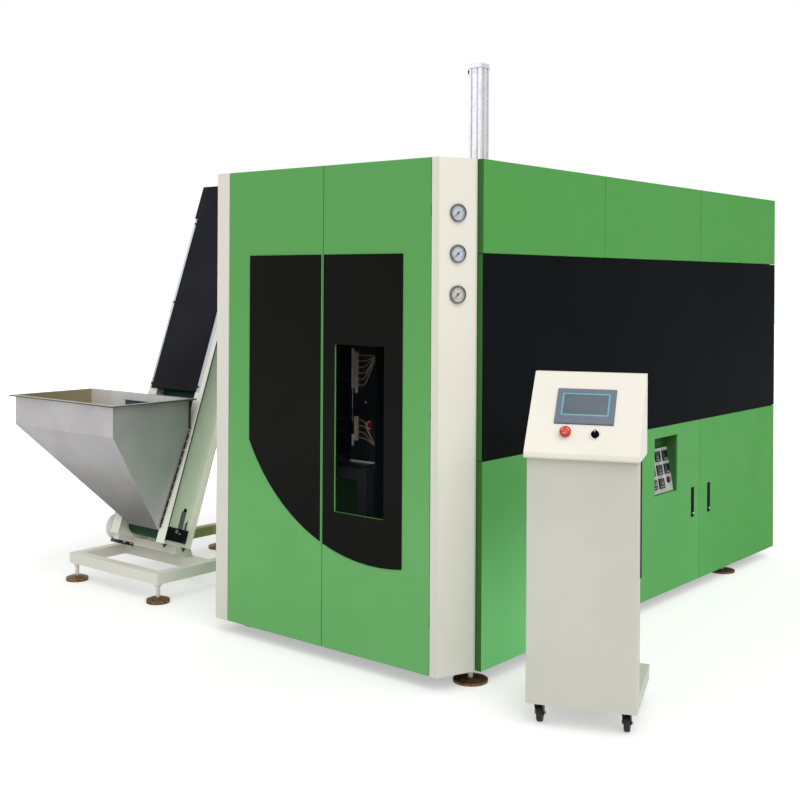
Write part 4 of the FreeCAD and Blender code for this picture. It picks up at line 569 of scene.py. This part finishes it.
def gauge_marks():
    """The dial's two rings and its strokes, numerals from 0 to 16, and a small plain ring."""
    marks = Shape()
    low, high = DIAL_FACE - 0.12, DIAL_FACE + 0.05
    stroke_start, numeral_radius, numeral_height = 25.9, 21.9, 4.6
    marks.arc(24.9, 1.1, SWEEP_START, SWEEP_END, low, high)
    marks.arc(18.4, 0.6, SWEEP_START, SWEEP_END, low, high)
    for index in range(STROKES + 1):
        angle = math.radians(SWEEP_START + (SWEEP_END - SWEEP_START) * index / STROKES)
        along = Vector((math.sin(angle), math.cos(angle)))
        across = Vector((math.cos(angle), -math.sin(angle)))
        half_width, end = (0.35, 27.8) if index % LONG_EACH else (0.85, 28.9)
        marks.prism([along * stroke_start + across * half_width, along * end + across * half_width,
                     along * end - across * half_width, along * stroke_start - across * half_width],
                    low, high)
        if index % NUMERAL_EACH == 0:
            marks.text(str(index // 2), numeral_height, *(along * numeral_radius), low, high)
    return marks.ring((0, 0, -15), 3.6, 4.2, low, high, 32)


def gauge(name, level):
    where = placed(GAUGE_X, GAUGE_Y, level, GAUGE_TURN)
    centre = (0, 0, 0)
    spindle_hole, dial_edge = 2.2, 31.2
    Shape().ring(centre, spindle_hole, dial_edge, DIAL_BACK, DIAL_FACE).make(
        f"gauge_dial_{name}", where, low_dial_face if name == "lower" else dial_face, "gauge_metal")
    gauge_marks().make(f"gauge_marks_{name}", where, dial_ink, "needle_black")
    Shape().turned(centre, [(0, -9.9), (10, -9.8), (20, -9.5), (29.2, -9.1), (29.2, -8.7),
                            (20, -9.0), (10, -9.25), (0, -9.35)]).make(
        f"gauge_glass_{name}", where, clear_glass, "clear_pane")
    # a dark grey ring at the glass's edge: the bezel's own grey, widened inwards as painted shade
    Shape().turned(centre, [(29.3, -10.1), (30.2, -10.8), (31.5, -10.9), (31.5, -8.6), (29.3, -8.6)]).make(
        f"gauge_dark_ring_{name}", where, bezel_grey, "needle_black")


for name, level in GAUGE_LEVELS.items():
    gauge(name, level)


# ---------------- recess, door keys, front doors, oven front and left column

display_glass = polished("display_glass", srgb(24, 27, 30), roughness=0.12, specular=0.35, wave=0.02)
grey_key = moulded("grey_key", srgb(150, 152, 154))
controller_rim = moulded("controller_rim", srgb(82, 84, 88), 0.45)
key_metal = brushed("key_metal", srgb(206, 207, 208), 0.25, (1, 1, 1), depth=0.1)
blackened = moulded("blackened_screw", srgb(24, 24, 25), 0.4, grain=0.0005)
terminal_white = moulded("terminal_white", srgb(214, 226, 240), 0.4)
# a pale paint for the painted highlight on the bed's front edge
bed_edge_highlight = powder("bed_edge_highlight", srgb(226, 238, 230), roughness=0.3)
orange_collar = moulded("orange_collar", srgb(232, 150, 104), 0.4)

RECESS = placed(CABINET_WIDTH - 20, 1557.3, 528.847, 90, -10.5)  # the sloping instrument panel
CONTROLLER, CONTROLLER_PROUD = 48, 7
CONTROLLERS_LEFT, CONTROLLERS_LOW, COLUMN_PITCH, ROW_PITCH = 23, 20, 75, 64
BUTTON_PLACE = (0, 2)  # row and column, from the lower left
PANEL_SCREWS = [(x, 0, z) for x in (9, 225) for z in (8, 202)]
BUTTON_X, BUTTON_Z, BUTTON_PROUD = 197, 54, 10
KEYS = {"middle": 1958, "rear": 2142}  # y of the handles' middle lines
HANDLE_LOW, KEY_Z = 375, 18.5


def recess():
    """Rims, displays and keys of the eight controllers, the panel's screws and the button's cap."""
    rims, displays, keys, screws = Shape(), Shape(), Shape(), Shape()
    face = -CONTROLLER_PROUD
    rim, keys_each, key_pitch = 2.2, 4, 9.6
    for row in range(3):
        for column in range(3):
            if (row, column) == BUTTON_PLACE:
                continue
            x, z = CONTROLLERS_LEFT + COLUMN_PITCH * column, CONTROLLERS_LOW + ROW_PITCH * row
            rims.border((x, z), (x + CONTROLLER, z + CONTROLLER), rim, face - 1.2, face, 0.4)
            displays.sheet((x + 5, z + 17), (x + 43, z + 43), face - 0.9, face + 0.1, 0.5)
            for place in range(keys_each):
                left = x + 6 + key_pitch * place
                keys.sheet((left, z + 6.5), (left + 7, z + 11.5), face - 1.0, face + 0.1, 0.5)
    for place in PANEL_SCREWS:
        screws.screw(place, 3.2, 1.8)
    rims.make("controller_rims", RECESS, controller_rim, "handle_black", "middle_door")
    displays.make("controller_displays", RECESS, display_glass, "handle_black", "middle_door")
    keys.make("controller_keys", RECESS, grey_key, "handle_black", "middle_door")
    screws.make("instrument_screws", RECESS, zinc, "gauge_metal", "middle_door")
    front = -BUTTON_PROUD
    cap = Shape().turned((BUTTON_X, 0, BUTTON_Z), [(8.2, front), (8.2, front - 0.7), (6, front - 0.9),
                                                   (0, front - 0.9), (0, front)])
    cap.make("recess_button_cap", RECESS, dark_red, "button_red", "panel_button")


def door_key(name, y):
    """The key cylinder's face and slot at the foot of a swing handle."""
    where = placed(CABINET_WIDTH, y, HANDLE_LOW, 90)
    cylinder = Shape().turned((0, 0, KEY_Z), [(0, -4.9), (5.6, -4.9), (5.6, -5.5), (4.9, -5.9), (0, -5.9)],
                              Y, 32)
    cylinder.make(f"key_cylinder_{name}", where, key_metal, "handle_black", f"{name}_door")
    slot = Shape().sheet((-0.6, KEY_Z - 3.6), (0.6, KEY_Z + 3.6), -6.1, -5.6, 0.2)
    slot.make(f"key_slot_{name}", where, blackened, "handle_black", f"{name}_door")


LEFT_DOOR_END, RIGHT_DOOR_START = 634, 638
GLASS, GLASS_LOW, GLASS_TOP = 3, 476.5, 1640  # thickness, and the heights between the doors
OVEN_FRONT, OVEN_SUNK = 220, 220.5  # pieces go half a millimetre into the oven's sheet
BED_TOP = 780
LEFT_COLUMN = 76


def door_edges():
    """Green trims on the two glasses' edges where the doors meet."""
    on_glass, past_edge = 3.6, 0.2
    for side, low, high in (("left", LEFT_DOOR_END - on_glass, LEFT_DOOR_END + past_edge),
                            ("right", RIGHT_DOOR_START - past_edge, RIGHT_DOOR_START + on_glass)):
        trim = Shape().sheet((low, GLASS_LOW), (high, GLASS_TOP + past_edge), -GLASS - 0.4, 0.1, 0.3)
        trim.make(f"glass_trim_{side}", CABINET, green_front, "green_paint", f"{side}_door")


def oven_front():
    """What the inspection pane shows on the oven's front: terminal strips, a probe rod and small parts."""
    strips = Shape().sheet((604, 1083), (609.5, 1254), OVEN_FRONT - 9, OVEN_SUNK, 0.6)
    strips.sheet((606.5, 843), (612, 891), OVEN_FRONT - 9, OVEN_SUNK, 0.6)
    contacts, contact_low, contact_pitch, contact_height = 11, 1092, 14, 8
    for index in range(contacts):
        low = contact_low + contact_pitch * index
        strips.sheet((611, low), (621, low + contact_height), OVEN_FRONT - 6, OVEN_SUNK, 0.8)
    strips.make("terminal_strips", CABINET, terminal_white, "wire_sleeve")

    rod_y, clamp_y = OVEN_FRONT - 4, OVEN_FRONT - 2
    rod = Shape().tube([(607, rod_y, 1086), (606.6, rod_y, 1040), (605.6, rod_y, 985),
                        (606.4, rod_y, 938)], 1.5)
    for clamp in ((606.4, clamp_y, 950), (607, clamp_y, 1070)):
        rod.disc(clamp, 3.4, -4.6, Y, 16)
    rod.make("probe_rod", CABINET, zinc, "machine_steel")

    small = Shape().sheet((625, 1066), (632, 1088), OVEN_FRONT - 9, OVEN_SUNK, 0.8)
    small.turned((677.5, OVEN_FRONT, 1030), [(0, 0), (4.5, 0), (4.5, -3), (0, -4)], Y, 20)
    small.sheet((706, 687), (720, 693), OVEN_FRONT - 7, OVEN_SUNK, 0.8)
    small.make("oven_fittings", CABINET, terminal_white, "machine_steel")

    button = placed(702, OVEN_FRONT, 936)
    Shape().arc(12, 6, 170, 370, -7, 0.5).make("oven_button_collar", button, orange_collar, "button_red")
    Shape().turned((0, 0, 0), [(0, 0.5), (11.8, 0.5), (11.8, -2.5), (10, -3.5), (0, -4)], Y, 40).make(
        "oven_button", button, dark_red, "button_red")
    # a pale bar on the bed's front top edge: a painted highlight where that edge catches the light
    rail = Shape().box((604, OVEN_FRONT - 15, BED_TOP - 0.1), (735, OVEN_FRONT - 6, BED_TOP + 6), 0.6)
    rail.make("bed_edge_highlight_bar", CABINET, bed_edge_highlight, "bed_steel")


def column_cap():
    """A thin cap in the open top of the left front column."""
    inset, back = 2.2, 161
    cap = Shape().box((inset, inset, CABINET_HEIGHT - 4.5),
                      (LEFT_COLUMN - inset, back, CABINET_HEIGHT - 1.5), 0.4)
    cap.make("column_cap", CABINET, cream, "cream_paint")


recess()
door_edges()
oven_front()
column_cap()
for name, y in KEYS.items():
    door_key(name, y)


# ---------------- control pedestal

teal = moulded("screen_frame_teal", srgb(112, 182, 192))
screen = polished("screen_glass", srgb(107, 116, 124), roughness=0.3, specular=0.1, wave=0.03)
gasket_and_shade = moulded("gasket_and_shade_rubber", srgb(52, 54, 60), 0.7, grain=0.001)
bright_ring = brushed("bright_ring", srgb(226, 226, 224), 0.22, (1, 1, 1), depth=0.06)
pale_plastic = moulded("pale_plastic", srgb(226, 224, 216), 0.4)
cap_light = polished("button_centre", srgb(226, 74, 62), roughness=0.3, specular=0.4, wave=0.01)
white_mark = moulded("white_mark", srgb(236, 236, 232))

PEDESTAL = placed(CABINET_WIDTH + 348, -57, 0, 21.9)
PEDESTAL_WIDTH, COLUMN_DEPTH, BASE_DEPTH = 381, 70, 403
HEAD_OVER, HEAD_NOSE, NOSE_TOP = 6, 28, 952
FACE_RUN, FACE_RISE = 215, 261  # the sloping face, across and up
FACE = (PEDESTAL @ Matrix.Translation((-HEAD_OVER, -HEAD_NOSE, NOSE_TOP))
        @ Matrix.Rotation(-math.atan(FACE_RUN / FACE_RISE), 4, "X"))
BEZEL_LOW, BEZEL_HIGH = Vector((92, 119)), Vector((296, 264))  # the touch panel's (x, z) corners
SCREEN_MARGIN, SCREEN_FLOOR = 18, -5
BUTTONS_Z, ESTOP_X, SELECTOR_X = 79, 137, 238


def touch_panel():
    """A dark rubber rim round the panel, partly painted shade at its lower edge, and in its recess a chin
    below the framed screen.
    """
    around = Vector((1.2, 1.2))
    # a dark rim all round the bezel: rubber, and painted shade along its lower edge
    Shape().border(BEZEL_LOW - around, BEZEL_HIGH + around, 3, -1.0, 0.02, 0.3).make(
        "touch_panel_gasket_and_shade", FACE, gasket_and_shade, "panel_plastic")
    inside = Vector((SCREEN_MARGIN + 0.1, SCREEN_MARGIN + 0.1))
    (left, low), (right, high) = BEZEL_LOW + inside, BEZEL_HIGH - inside
    chin_top, border = 151, 6
    Shape().sheet((left, low), (right, chin_top), SCREEN_FLOOR - 1.9, SCREEN_FLOOR, 0.3).make(
        "touch_panel_chin", FACE, panel_plastic, "panel_plastic")
    frame_low = chin_top + 0.1
    Shape().border((left, frame_low), (right, high), border, SCREEN_FLOOR - 0.7, SCREEN_FLOOR, 0.15).make(
        "screen_frame", FACE, teal, "panel_plastic")
    Shape().sheet((left + border, frame_low + border), (right - border, high - border),
                  SCREEN_FLOOR - 0.5, SCREEN_FLOOR, 0.1).make("screen_glass", FACE, screen, "panel_plastic")


def estop():
    """The emergency button: a collar on the face, and a sleeve, a lighter centre and arrows that move."""
    at = (ESTOP_X, 0, BUTTONS_Z)
    Shape().turned(at, [(15.2, 0), (19.5, 0), (19.5, -2), (18.6, -3.6), (15.2, -3.6)]).make(
        "estop_collar", FACE, pale_plastic, "pedestal_paint")
    Shape().ring(at, 14.02, 14.7, -4.4, -10.2).make(
        "estop_sleeve", FACE, pale_plastic, "pedestal_paint", "stop_button")
    Shape().turned(at, [(0, -22.2), (9.6, -22.2), (9.6, -22.9), (8.2, -23.6), (0, -24)]).make(
        "estop_centre", FACE, cap_light, "button_red", "stop_button")
    arrows = Shape()
    front, back = -22.7, -22.2
    for start in (20, 140, 260):
        arrows.arc(11.4, 1.1, start, start + 62, front, back, 12)
        head = [(start + 76, 12), (start + 61, 10.0), (start + 61, 13.9)]  # angles and radii
        arrows.prism([(radius * math.sin(math.radians(angle)), radius * math.cos(math.radians(angle)))
                      for angle, radius in head], front, back)
    arrows.make("estop_arrows", FACE @ Matrix.Translation(at), white_mark, "button_red", "stop_button")


def selector():
    """A bright ring on the face and a white pointer on the knob's bar."""
    at = (SELECTOR_X, 0, BUTTONS_Z)
    Shape().turned(at, [(14.3, 0), (20.5, 0), (20.5, -2.6), (19.2, -4.4), (14.3, -4.4)]).make(
        "selector_ring", FACE, bright_ring, "gauge_metal")
    left, right, front = SELECTOR_X - 1.2, SELECTOR_X + 1.2, -18.4
    low, bend, top = BUTTONS_Z + 1, BUTTONS_Z + 11.9, BUTTONS_Z + 12.4
    pointer = Shape().sheet((left, low), (right, bend), front, front + 0.45, 0.1)
    pointer.sheet((left, bend), (right, top), front, front + 10, 0.1)
    pointer.make("selector_pointer", FACE, white_mark, "handle_black", "selector")


def pedestal_back():
    """Black edging behind the column's right edge, the rear door's line and its lock."""
    Shape().box((PEDESTAL_WIDTH - 0.1, COLUMN_DEPTH - 6, 526), (PEDESTAL_WIDTH + 5, COLUMN_DEPTH + 1, 925),
                1).make("pedestal_edging", PEDESTAL, needle_paint, "pedestal_paint")
    door_low, door_high, line = (14, 150), (PEDESTAL_WIDTH - 14, 916), 1.6
    Shape().border(door_low, door_high, line, COLUMN_DEPTH - 0.1, COLUMN_DEPTH + 0.5).make(
        "pedestal_door_line", PEDESTAL, gasket_and_shade, "pedestal_paint")
    Shape().turned((340, COLUMN_DEPTH, 540), [(0, 0), (11, 0), (11, 3), (9.5, 4.4), (4, 4.4), (4, 2.6),
                                              (0, 2.6)]).make(
        "pedestal_lock", PEDESTAL, zinc, "handle_black")


touch_panel()
estop()
selector()
pedestal_back()

CASTER_X, CASTER_Y, CASTER_TRAIL, WHEEL_RADIUS = 40, 45, 18, 30


def caster(name, x, y):
    """Axle bolts outside the fork and hub caps on both sides of the wheel."""
    bolts, caps = Shape(), Shape()
    fork_reach, half_wheel, hub = 17, 10, [(9, 0), (22, 0), (21, 0.8), (9.4, 0.8)]
    for side in (-1, 1):
        axle = Vector((x, y + CASTER_TRAIL, WHEEL_RADIUS))
        bolts.hexagon(axle + Vector((side * fork_reach, 0, 0)), 11, 3.5, X, side)
        caps.turned(axle + Vector((side * half_wheel, 0, 0)),
                    [(radius, side * height) for radius, height in hub], X, 40)
    bolts.make(f"caster_bolts_{name}", PEDESTAL, zinc, "caster_steel", f"{name}_fork")
    caps.make(f"caster_caps_{name}", PEDESTAL, caster_paint, "caster_tread", f"{name}_wheel")


for row, y in (("front", CASTER_Y), ("rear", BASE_DEPTH - CASTER_Y)):
    for side, x in (("left", CASTER_X), ("right", PEDESTAL_WIDTH - CASTER_X)):
        caster(f"{row}_{side}", x, y)


# ---------------- preform loader

strip_white = powder("lid_strip", srgb(222, 227, 236), roughness=0.3)
# dark felt for the hopper's brush, and painted shade on the flanges' folds
dark_felt_and_shade = moulded("dark_gasket_and_shade", srgb(40, 38, 34), 0.9, grain=0.002, specular=0.2)
copper = brushed("copper_bracket", srgb(150, 92, 70), 0.4, (1, 1, 1), depth=0.3)
slate = powder("slate_plate", srgb(72, 76, 90))
# dark brown steel for the painted shade on the hopper lip's edge
lip_edge_shade = brushed("lip_edge_shade", srgb(104, 98, 84), 0.5, (1, 1, 1), depth=0.25, metallic=0.3)
guide_grey = brushed("guide_steel", srgb(116, 122, 122), 0.4, (1, 1, 0.1), depth=0.2, metallic=0.3)
box_black = moulded("terminal_black", srgb(30, 30, 31), 0.4, grain=0.001)

# In the elevator's frame X runs right, Y deeper into it, down and back, and Z up along its slope.
ELEVATOR = placed(0, 235, 246, 0, -19)
ELEVATOR_LEFT, ELEVATOR_RIGHT = -1072, -640
RIGHT_WEB, TENSION_FACE = -685, -679  # the right channel's web, and the black plate on it
COVER_START, COVER_HEAD = 762, 1719
COVER_LEFT, COVER_RIGHT = -1050, -700
HOPPER_LEFT, HOPPER_RIGHT, HOPPER_FRONT, HOPPER_BACK = -1472, -657, -60, 407
HOPPER_TOP, HOPPER_RIM, HOPPER_LIP = 941, 151, 24
OUTLET_LEFT, OUTLET_RIGHT = -925, -700
MOTOR_DEEP, MOTOR_ALONG, MOTOR_LEFT = 92, 34, -1152


def cover_strips():
    """Pale strips down both sides of the cover, and the cover's and the hood's screws."""
    proud, low, high = -1.4, COVER_START, COVER_HEAD - 0.5
    Shape().sheet((ELEVATOR_LEFT + 0.5, low), (COVER_LEFT - 0.6, high), proud, 0.02, 0.3).make(
        "lid_strip_left", ELEVATOR, strip_white, "frame_paint")
    Shape().sheet((COVER_RIGHT + 0.6, low), (-674, high), proud, 0.02, 0.3).make(
        "lid_strip_right", ELEVATOR, strip_white, "frame_paint")
    screws = Shape()
    for along in (787.5, 1238.5, 1689):
        for x in (-1061, -691):
            screws.screw((x, proud + 0.1, along), 6, 4)
    for x in (COVER_LEFT + 10, COVER_RIGHT - 12):
        for along in (1740, 1885):
            screws.screw((x, -8, along), 5, 3)
    screws.make("lid_screws", ELEVATOR, blackened, "handle_black")


def belt_tension():
    """Adjusting bolt, guide and lock at the belt's foot on the right, and screws under the plate."""
    adjuster = Shape().disc((TENSION_FACE, 113, 61), 5, 1.6, X, 32)
    adjuster.hexagon((TENSION_FACE + 1.6, 113, 61), 8, 5, out=1)
    adjuster.make("tension_bolt", ELEVATOR, zinc, "gauge_metal")
    guide = Shape().box((RIGHT_WEB - 0.6, 98, 74), (RIGHT_WEB + 1.8, 128, 172), 0.3)
    guide.make("tension_guide", ELEVATOR, guide_grey, "gauge_metal")
    lock = Shape().hexagon((TENSION_FACE, 151, 26), 15, 6, out=1)
    lock.box((TENSION_FACE - 1.4, 138, 78), (TENSION_FACE + 1.6, 146, 122), 0.3)
    lock.screw((TENSION_FACE, 52, 76), 5, 3, X, out=1)
    lock.make("tension_lock", ELEVATOR, blackened, "handle_black")
    under = Shape()
    foot_x, head_height = -663, 9
    for deep in (24, 150):
        under.hexagon((foot_x, deep, -0.1), 19, head_height, Z)
        under.disc((foot_x, deep, -head_height), 5, -9, Z)
    under.make("plate_feet_screws", ELEVATOR, blackened, "handle_black")


def flange_fold_shade():
    """Dark strips on the outer edges of both channels' flanges: painted shade on their folds."""
    start = 12
    # painted shade along the flanges' folds
    shade_strips = Shape().sheet((ELEVATOR_RIGHT - 4, start), (ELEVATOR_RIGHT + 0.2, 1750), -0.8, 3, 0.1)
    shade_strips.sheet((ELEVATOR_LEFT, start), (ELEVATOR_LEFT + 1.2, 750), -0.6, 0.1, 0.1)
    shade_strips.make("flange_fold_shade_strips", ELEVATOR, dark_felt_and_shade, "frame_paint")


def hopper_brush():
    """A dark brush strip between the hopper's right wall and the elevator, with its screws."""
    shoulder = HOPPER_TOP - HOPPER_RIM
    top, bottom = Vector((HOPPER_RIGHT, HOPPER_BACK, shoulder)), Vector((OUTLET_RIGHT, 255, 306))
    section = ((1.5, -7), (8, -7), (8, -1.5), (1.5, -1.5))
    ends = [top.lerp(bottom, part) for part in (0.02, 0.98)]
    strip, pins = Shape(), Shape()
    strip.swept([[point + Vector((x, y, 0)) for x, y in section] for point in ends])
    strip.box((HOPPER_RIGHT + 1.5, HOPPER_BACK - 9, shoulder),
              (HOPPER_RIGHT + 9, HOPPER_BACK - 2, HOPPER_TOP - 5), 0.5)
    pin_count = 12
    for index in range(pin_count):
        point = top.lerp(bottom, (index + 0.5) / pin_count)
        pins.screw(point + Vector((8, -4, 0)), 3, 2.2, X, out=1)
    strip.make("hopper_brush", CABINET, dark_felt_and_shade, "handle_black")
    pins.make("hopper_brush_screws", CABINET, zinc, "gauge_metal")


def hopper_trim():
    """The outlet's latch, the lip's outer edge in a dark brown as painted shade, and a dark plate inside the
    rim.
    """
    latch = Shape().sheet((-712, 92), (-699, 150), -13, -0.5, 1.5)
    for along in (110, 134):
        latch.disc((-705.5, -13, along), 4, -2.5)
    latch.make("hopper_latch", ELEVATOR, copper, "gauge_metal")

    left, right, front = HOPPER_LEFT - HOPPER_LIP, HOPPER_RIGHT + HOPPER_LIP, HOPPER_FRONT - HOPPER_LIP - 0.9
    low, high = HOPPER_TOP - 6.5, HOPPER_TOP + 0.4
    # painted shade on the lip's outer edge
    lip = Shape().box((left, front, low), (right, front + 1.3, high), 0.3)
    lip.box((right - 0.4, front, low), (right + 0.9, 428, high), 0.3)
    lip.make("hopper_lip_edge", CABINET, lip_edge_shade, "hopper_steel")

    right, back, top = HOPPER_RIGHT - 3.5, 217, HOPPER_TOP - 7
    dark_plate = Shape().box((OUTLET_LEFT, back - 3, 792), (right, back, top), 0.5)
    dark_plate.box((OUTLET_LEFT, back - 14, top - 3), (right, back, top), 0.5)
    dark_plate.box((right - 3.5, back - 37, 806), (right, back, top - 3), 0.5)
    dark_plate.make("hopper_dark_plate", CABINET, slate, "hopper_steel")


def motor():
    """The geared motor's cooling cowl, terminal box with glands, and flange screws."""
    cowl = Shape().turned((MOTOR_LEFT, MOTOR_DEEP, MOTOR_ALONG), [
        (66, 26), (66, 2), (60, -6), (20, -8), (0, -8), (0, 0), (62, 0), (62, 26)], X, 64)
    cowl.make("motor_cowl", ELEVATOR, motor_paint, "motor_paint")
    box_right, box_low, box_high = -1074, -48, -18
    box = Shape().sheet((-1142, box_low), (box_right, box_high), 72, 176, 3)
    box.make("motor_terminal_box", ELEVATOR, box_black, "handle_black")
    glands = Shape()
    for deep in (104, 150):
        glands.hexagon((box_right, deep, (box_low + box_high) / 2), 15, 9, out=1)
    glands.make("motor_glands", ELEVATOR, zinc, "gauge_metal")
    screws = Shape()
    apart = (-52, 52)
    for deep in apart:
        for along in apart:
            screws.screw((-1067, MOTOR_DEEP + deep, MOTOR_ALONG + along), 5, 3, X)
    screws.make("motor_flange_screws", ELEVATOR, blackened, "handle_black")


cover_strips()
belt_tension()
flange_fold_shade()
hopper_brush()
hopper_trim()
motor()


# ---------------- stretch cylinder, roof and rear

CYLINDER_TOP = placed(530, 1218, 2599)
ROOF_SCREWS = [(x, y, CABINET_HEIGHT) for y in (200, 560, 1060, 1110, 1560, 2010, 2060, 2500, 2930)
               for x in (24, CABINET_WIDTH - 24)]
REAR_SCREWS = [(x, CABINET_LENGTH, z) for z in range(140, 1821, 420)
               for x in (60, 620, CABINET_WIDTH - 620, CABINET_WIDTH - 60)]


def cylinder_head():
    """Screws on the stretch cylinder's end cap, the fitting at its side and the joint under it."""
    screws = Shape()
    apart = (-25, 25)
    for x in apart:
        for y in apart:
            screws.screw((x, y, 0), 6, 3, Z, out=1)
    screws.make("cylinder_cap_screws", CYLINDER_TOP, zinc, "cylinder_aluminium")
    side = -37.5
    fitting = Shape().disc((side, -26, -36), 7, -8, X, 24)
    fitting.box((side - 8.5, -31, -48), (side - 0.5, -21, -26), 1.5)
    fitting.make("cylinder_fitting", CYLINDER_TOP, box_black, "handle_black")
    out, low, high = 37.8, -22.8, -21.6
    Shape().border((-out, low), (out, high), 0.55, -out, out).make(
        "cylinder_cap_joint", CYLINDER_TOP, gasket_and_shade, "cylinder_aluminium")


def sheet_screws(name, places, axis):
    """Screws in the coat's colour along the edges of the cabinet's sheets."""
    screws = Shape()
    for place in places:
        screws.screw(place, 6, 3, axis, out=1)
    screws.make(name, CABINET, green, "green_paint")


cylinder_head()
sheet_screws("roof_screws", ROOF_SCREWS, Z)
sheet_screws("rear_screws", REAR_SCREWS, Y)


# ---------------- floor, light and camera

FLOOR_REACH = 40.0  # metres each way
FLOOR_GREY = (0.72, 0.72, 0.71, 1)
GLOW_CENTRE = (0.5, 1.2, 0)  # the floor glows brighter away from here
GLOW_START, GLOW_END = 2.5, 6.0  # metres from that centre
GLOW_NEAR, GLOW_FAR = 0.42, 1.0
WHITE = (1, 1, 1, 1)
SKY_LIGHT, SKY_SEEN = 0.68, 1.0  # strength as light, and as it is seen

CAMERA_PLACE = (3.835, -3.6618, 1.5307)
CAMERA_YAW, CAMERA_PITCH, CAMERA_ROLL = 39.5675, -0.0615, 0.3119
LENS, SENSOR, SHIFT = 52.93, 36, -0.1458


def seen_directly(tree):
    """1 for rays from the camera, off gloss and through glass, so that they all meet white."""
    rays = tree.nodes.new("ShaderNodeLightPath").outputs
    gloss_or_glass = reckoned(tree, "MAXIMUM", rays["Is Glossy Ray"], rays["Is Transmission Ray"])
    return reckoned(tree, "MAXIMUM", rays["Is Camera Ray"], gloss_or_glass)


def floor_material():
    """A grey floor that takes shadows, with a glow that fades it into the white around."""
    material = bpy.data.materials.new("floor")
    material.use_nodes = True
    tree = material.node_tree
    tree.nodes.clear()
    output, add, diffuse, glow, coordinates, distance = (tree.nodes.new("ShaderNode" + kind) for kind in (
        "OutputMaterial", "AddShader", "BsdfDiffuse", "Emission", "TexCoord", "VectorMath"))
    diffuse.inputs["Color"].default_value = FLOOR_GREY
    distance.operation = "DISTANCE"
    distance.inputs[1].default_value = GLOW_CENTRE
    tree.links.new(coordinates.outputs["Object"], distance.inputs[0])
    fade = mapped(tree, distance.outputs["Value"], GLOW_START, GLOW_END, GLOW_NEAR, GLOW_FAR)
    tree.links.new(reckoned(tree, "MULTIPLY", fade, seen_directly(tree)), glow.inputs["Strength"])
    tree.links.new(diffuse.outputs[0], add.inputs[0])
    tree.links.new(glow.outputs[0], add.inputs[1])
    tree.links.new(add.outputs[0], output.inputs["Surface"])
    return material


def floor():
    mesh = bpy.data.meshes.new("floor")
    corners = [(FLOOR_REACH * x, FLOOR_REACH * y, 0) for x, y in ((-1, -1), (1, -1), (1, 1), (-1, 1))]
    mesh.from_pydata(corners, [], [(0, 1, 2, 3)])
    mesh.materials.append(floor_material())
    linked("floor", mesh)


def sky():
    world = bpy.data.worlds.new("studio")
    bpy.context.scene.world = world
    world.use_nodes = True
    tree = world.node_tree
    background = tree.nodes["Background"]
    background.inputs["Color"].default_value = WHITE
    tree.links.new(mapped(tree, seen_directly(tree), 0, 1, SKY_LIGHT, SKY_SEEN),
                   background.inputs["Strength"])


def sun(name, azimuth, elevation, strength, angle):
    """A wide soft lamp. Azimuth 0 shines along +Y, from the front, and 90 along -X, from the right."""
    lamp = bpy.data.lights.new(name, "SUN")
    lamp.energy = strength
    lamp.angle = math.radians(angle)
    turn, rise = math.radians(azimuth), math.radians(elevation)
    towards = Vector((-math.sin(turn) * math.cos(rise), math.cos(turn) * math.cos(rise), -math.sin(rise)))
    linked(name, lamp).rotation_euler = towards.to_track_quat("-Z", "Y").to_euler()


def camera():
    yaw, pitch, roll = (math.radians(angle) for angle in (CAMERA_YAW, CAMERA_PITCH, CAMERA_ROLL))
    data = bpy.data.cameras.new("camera")
    data.sensor_width = SENSOR
    data.lens = LENS
    data.shift_y = SHIFT
    thing = linked("camera", data)
    thing.matrix_world = (Matrix.Translation(CAMERA_PLACE) @ Matrix.Rotation(yaw, 4, "Z")
                          @ Matrix.Rotation(math.pi / 2 + pitch, 4, "X") @ Matrix.Rotation(roll, 4, "Z"))
    bpy.context.scene.camera = thing


floor()
sky()
sun("key_light", azimuth=62, elevation=45, strength=1.35, angle=60)
camera()
bpy.context.scene.view_settings.view_transform = "Standard"
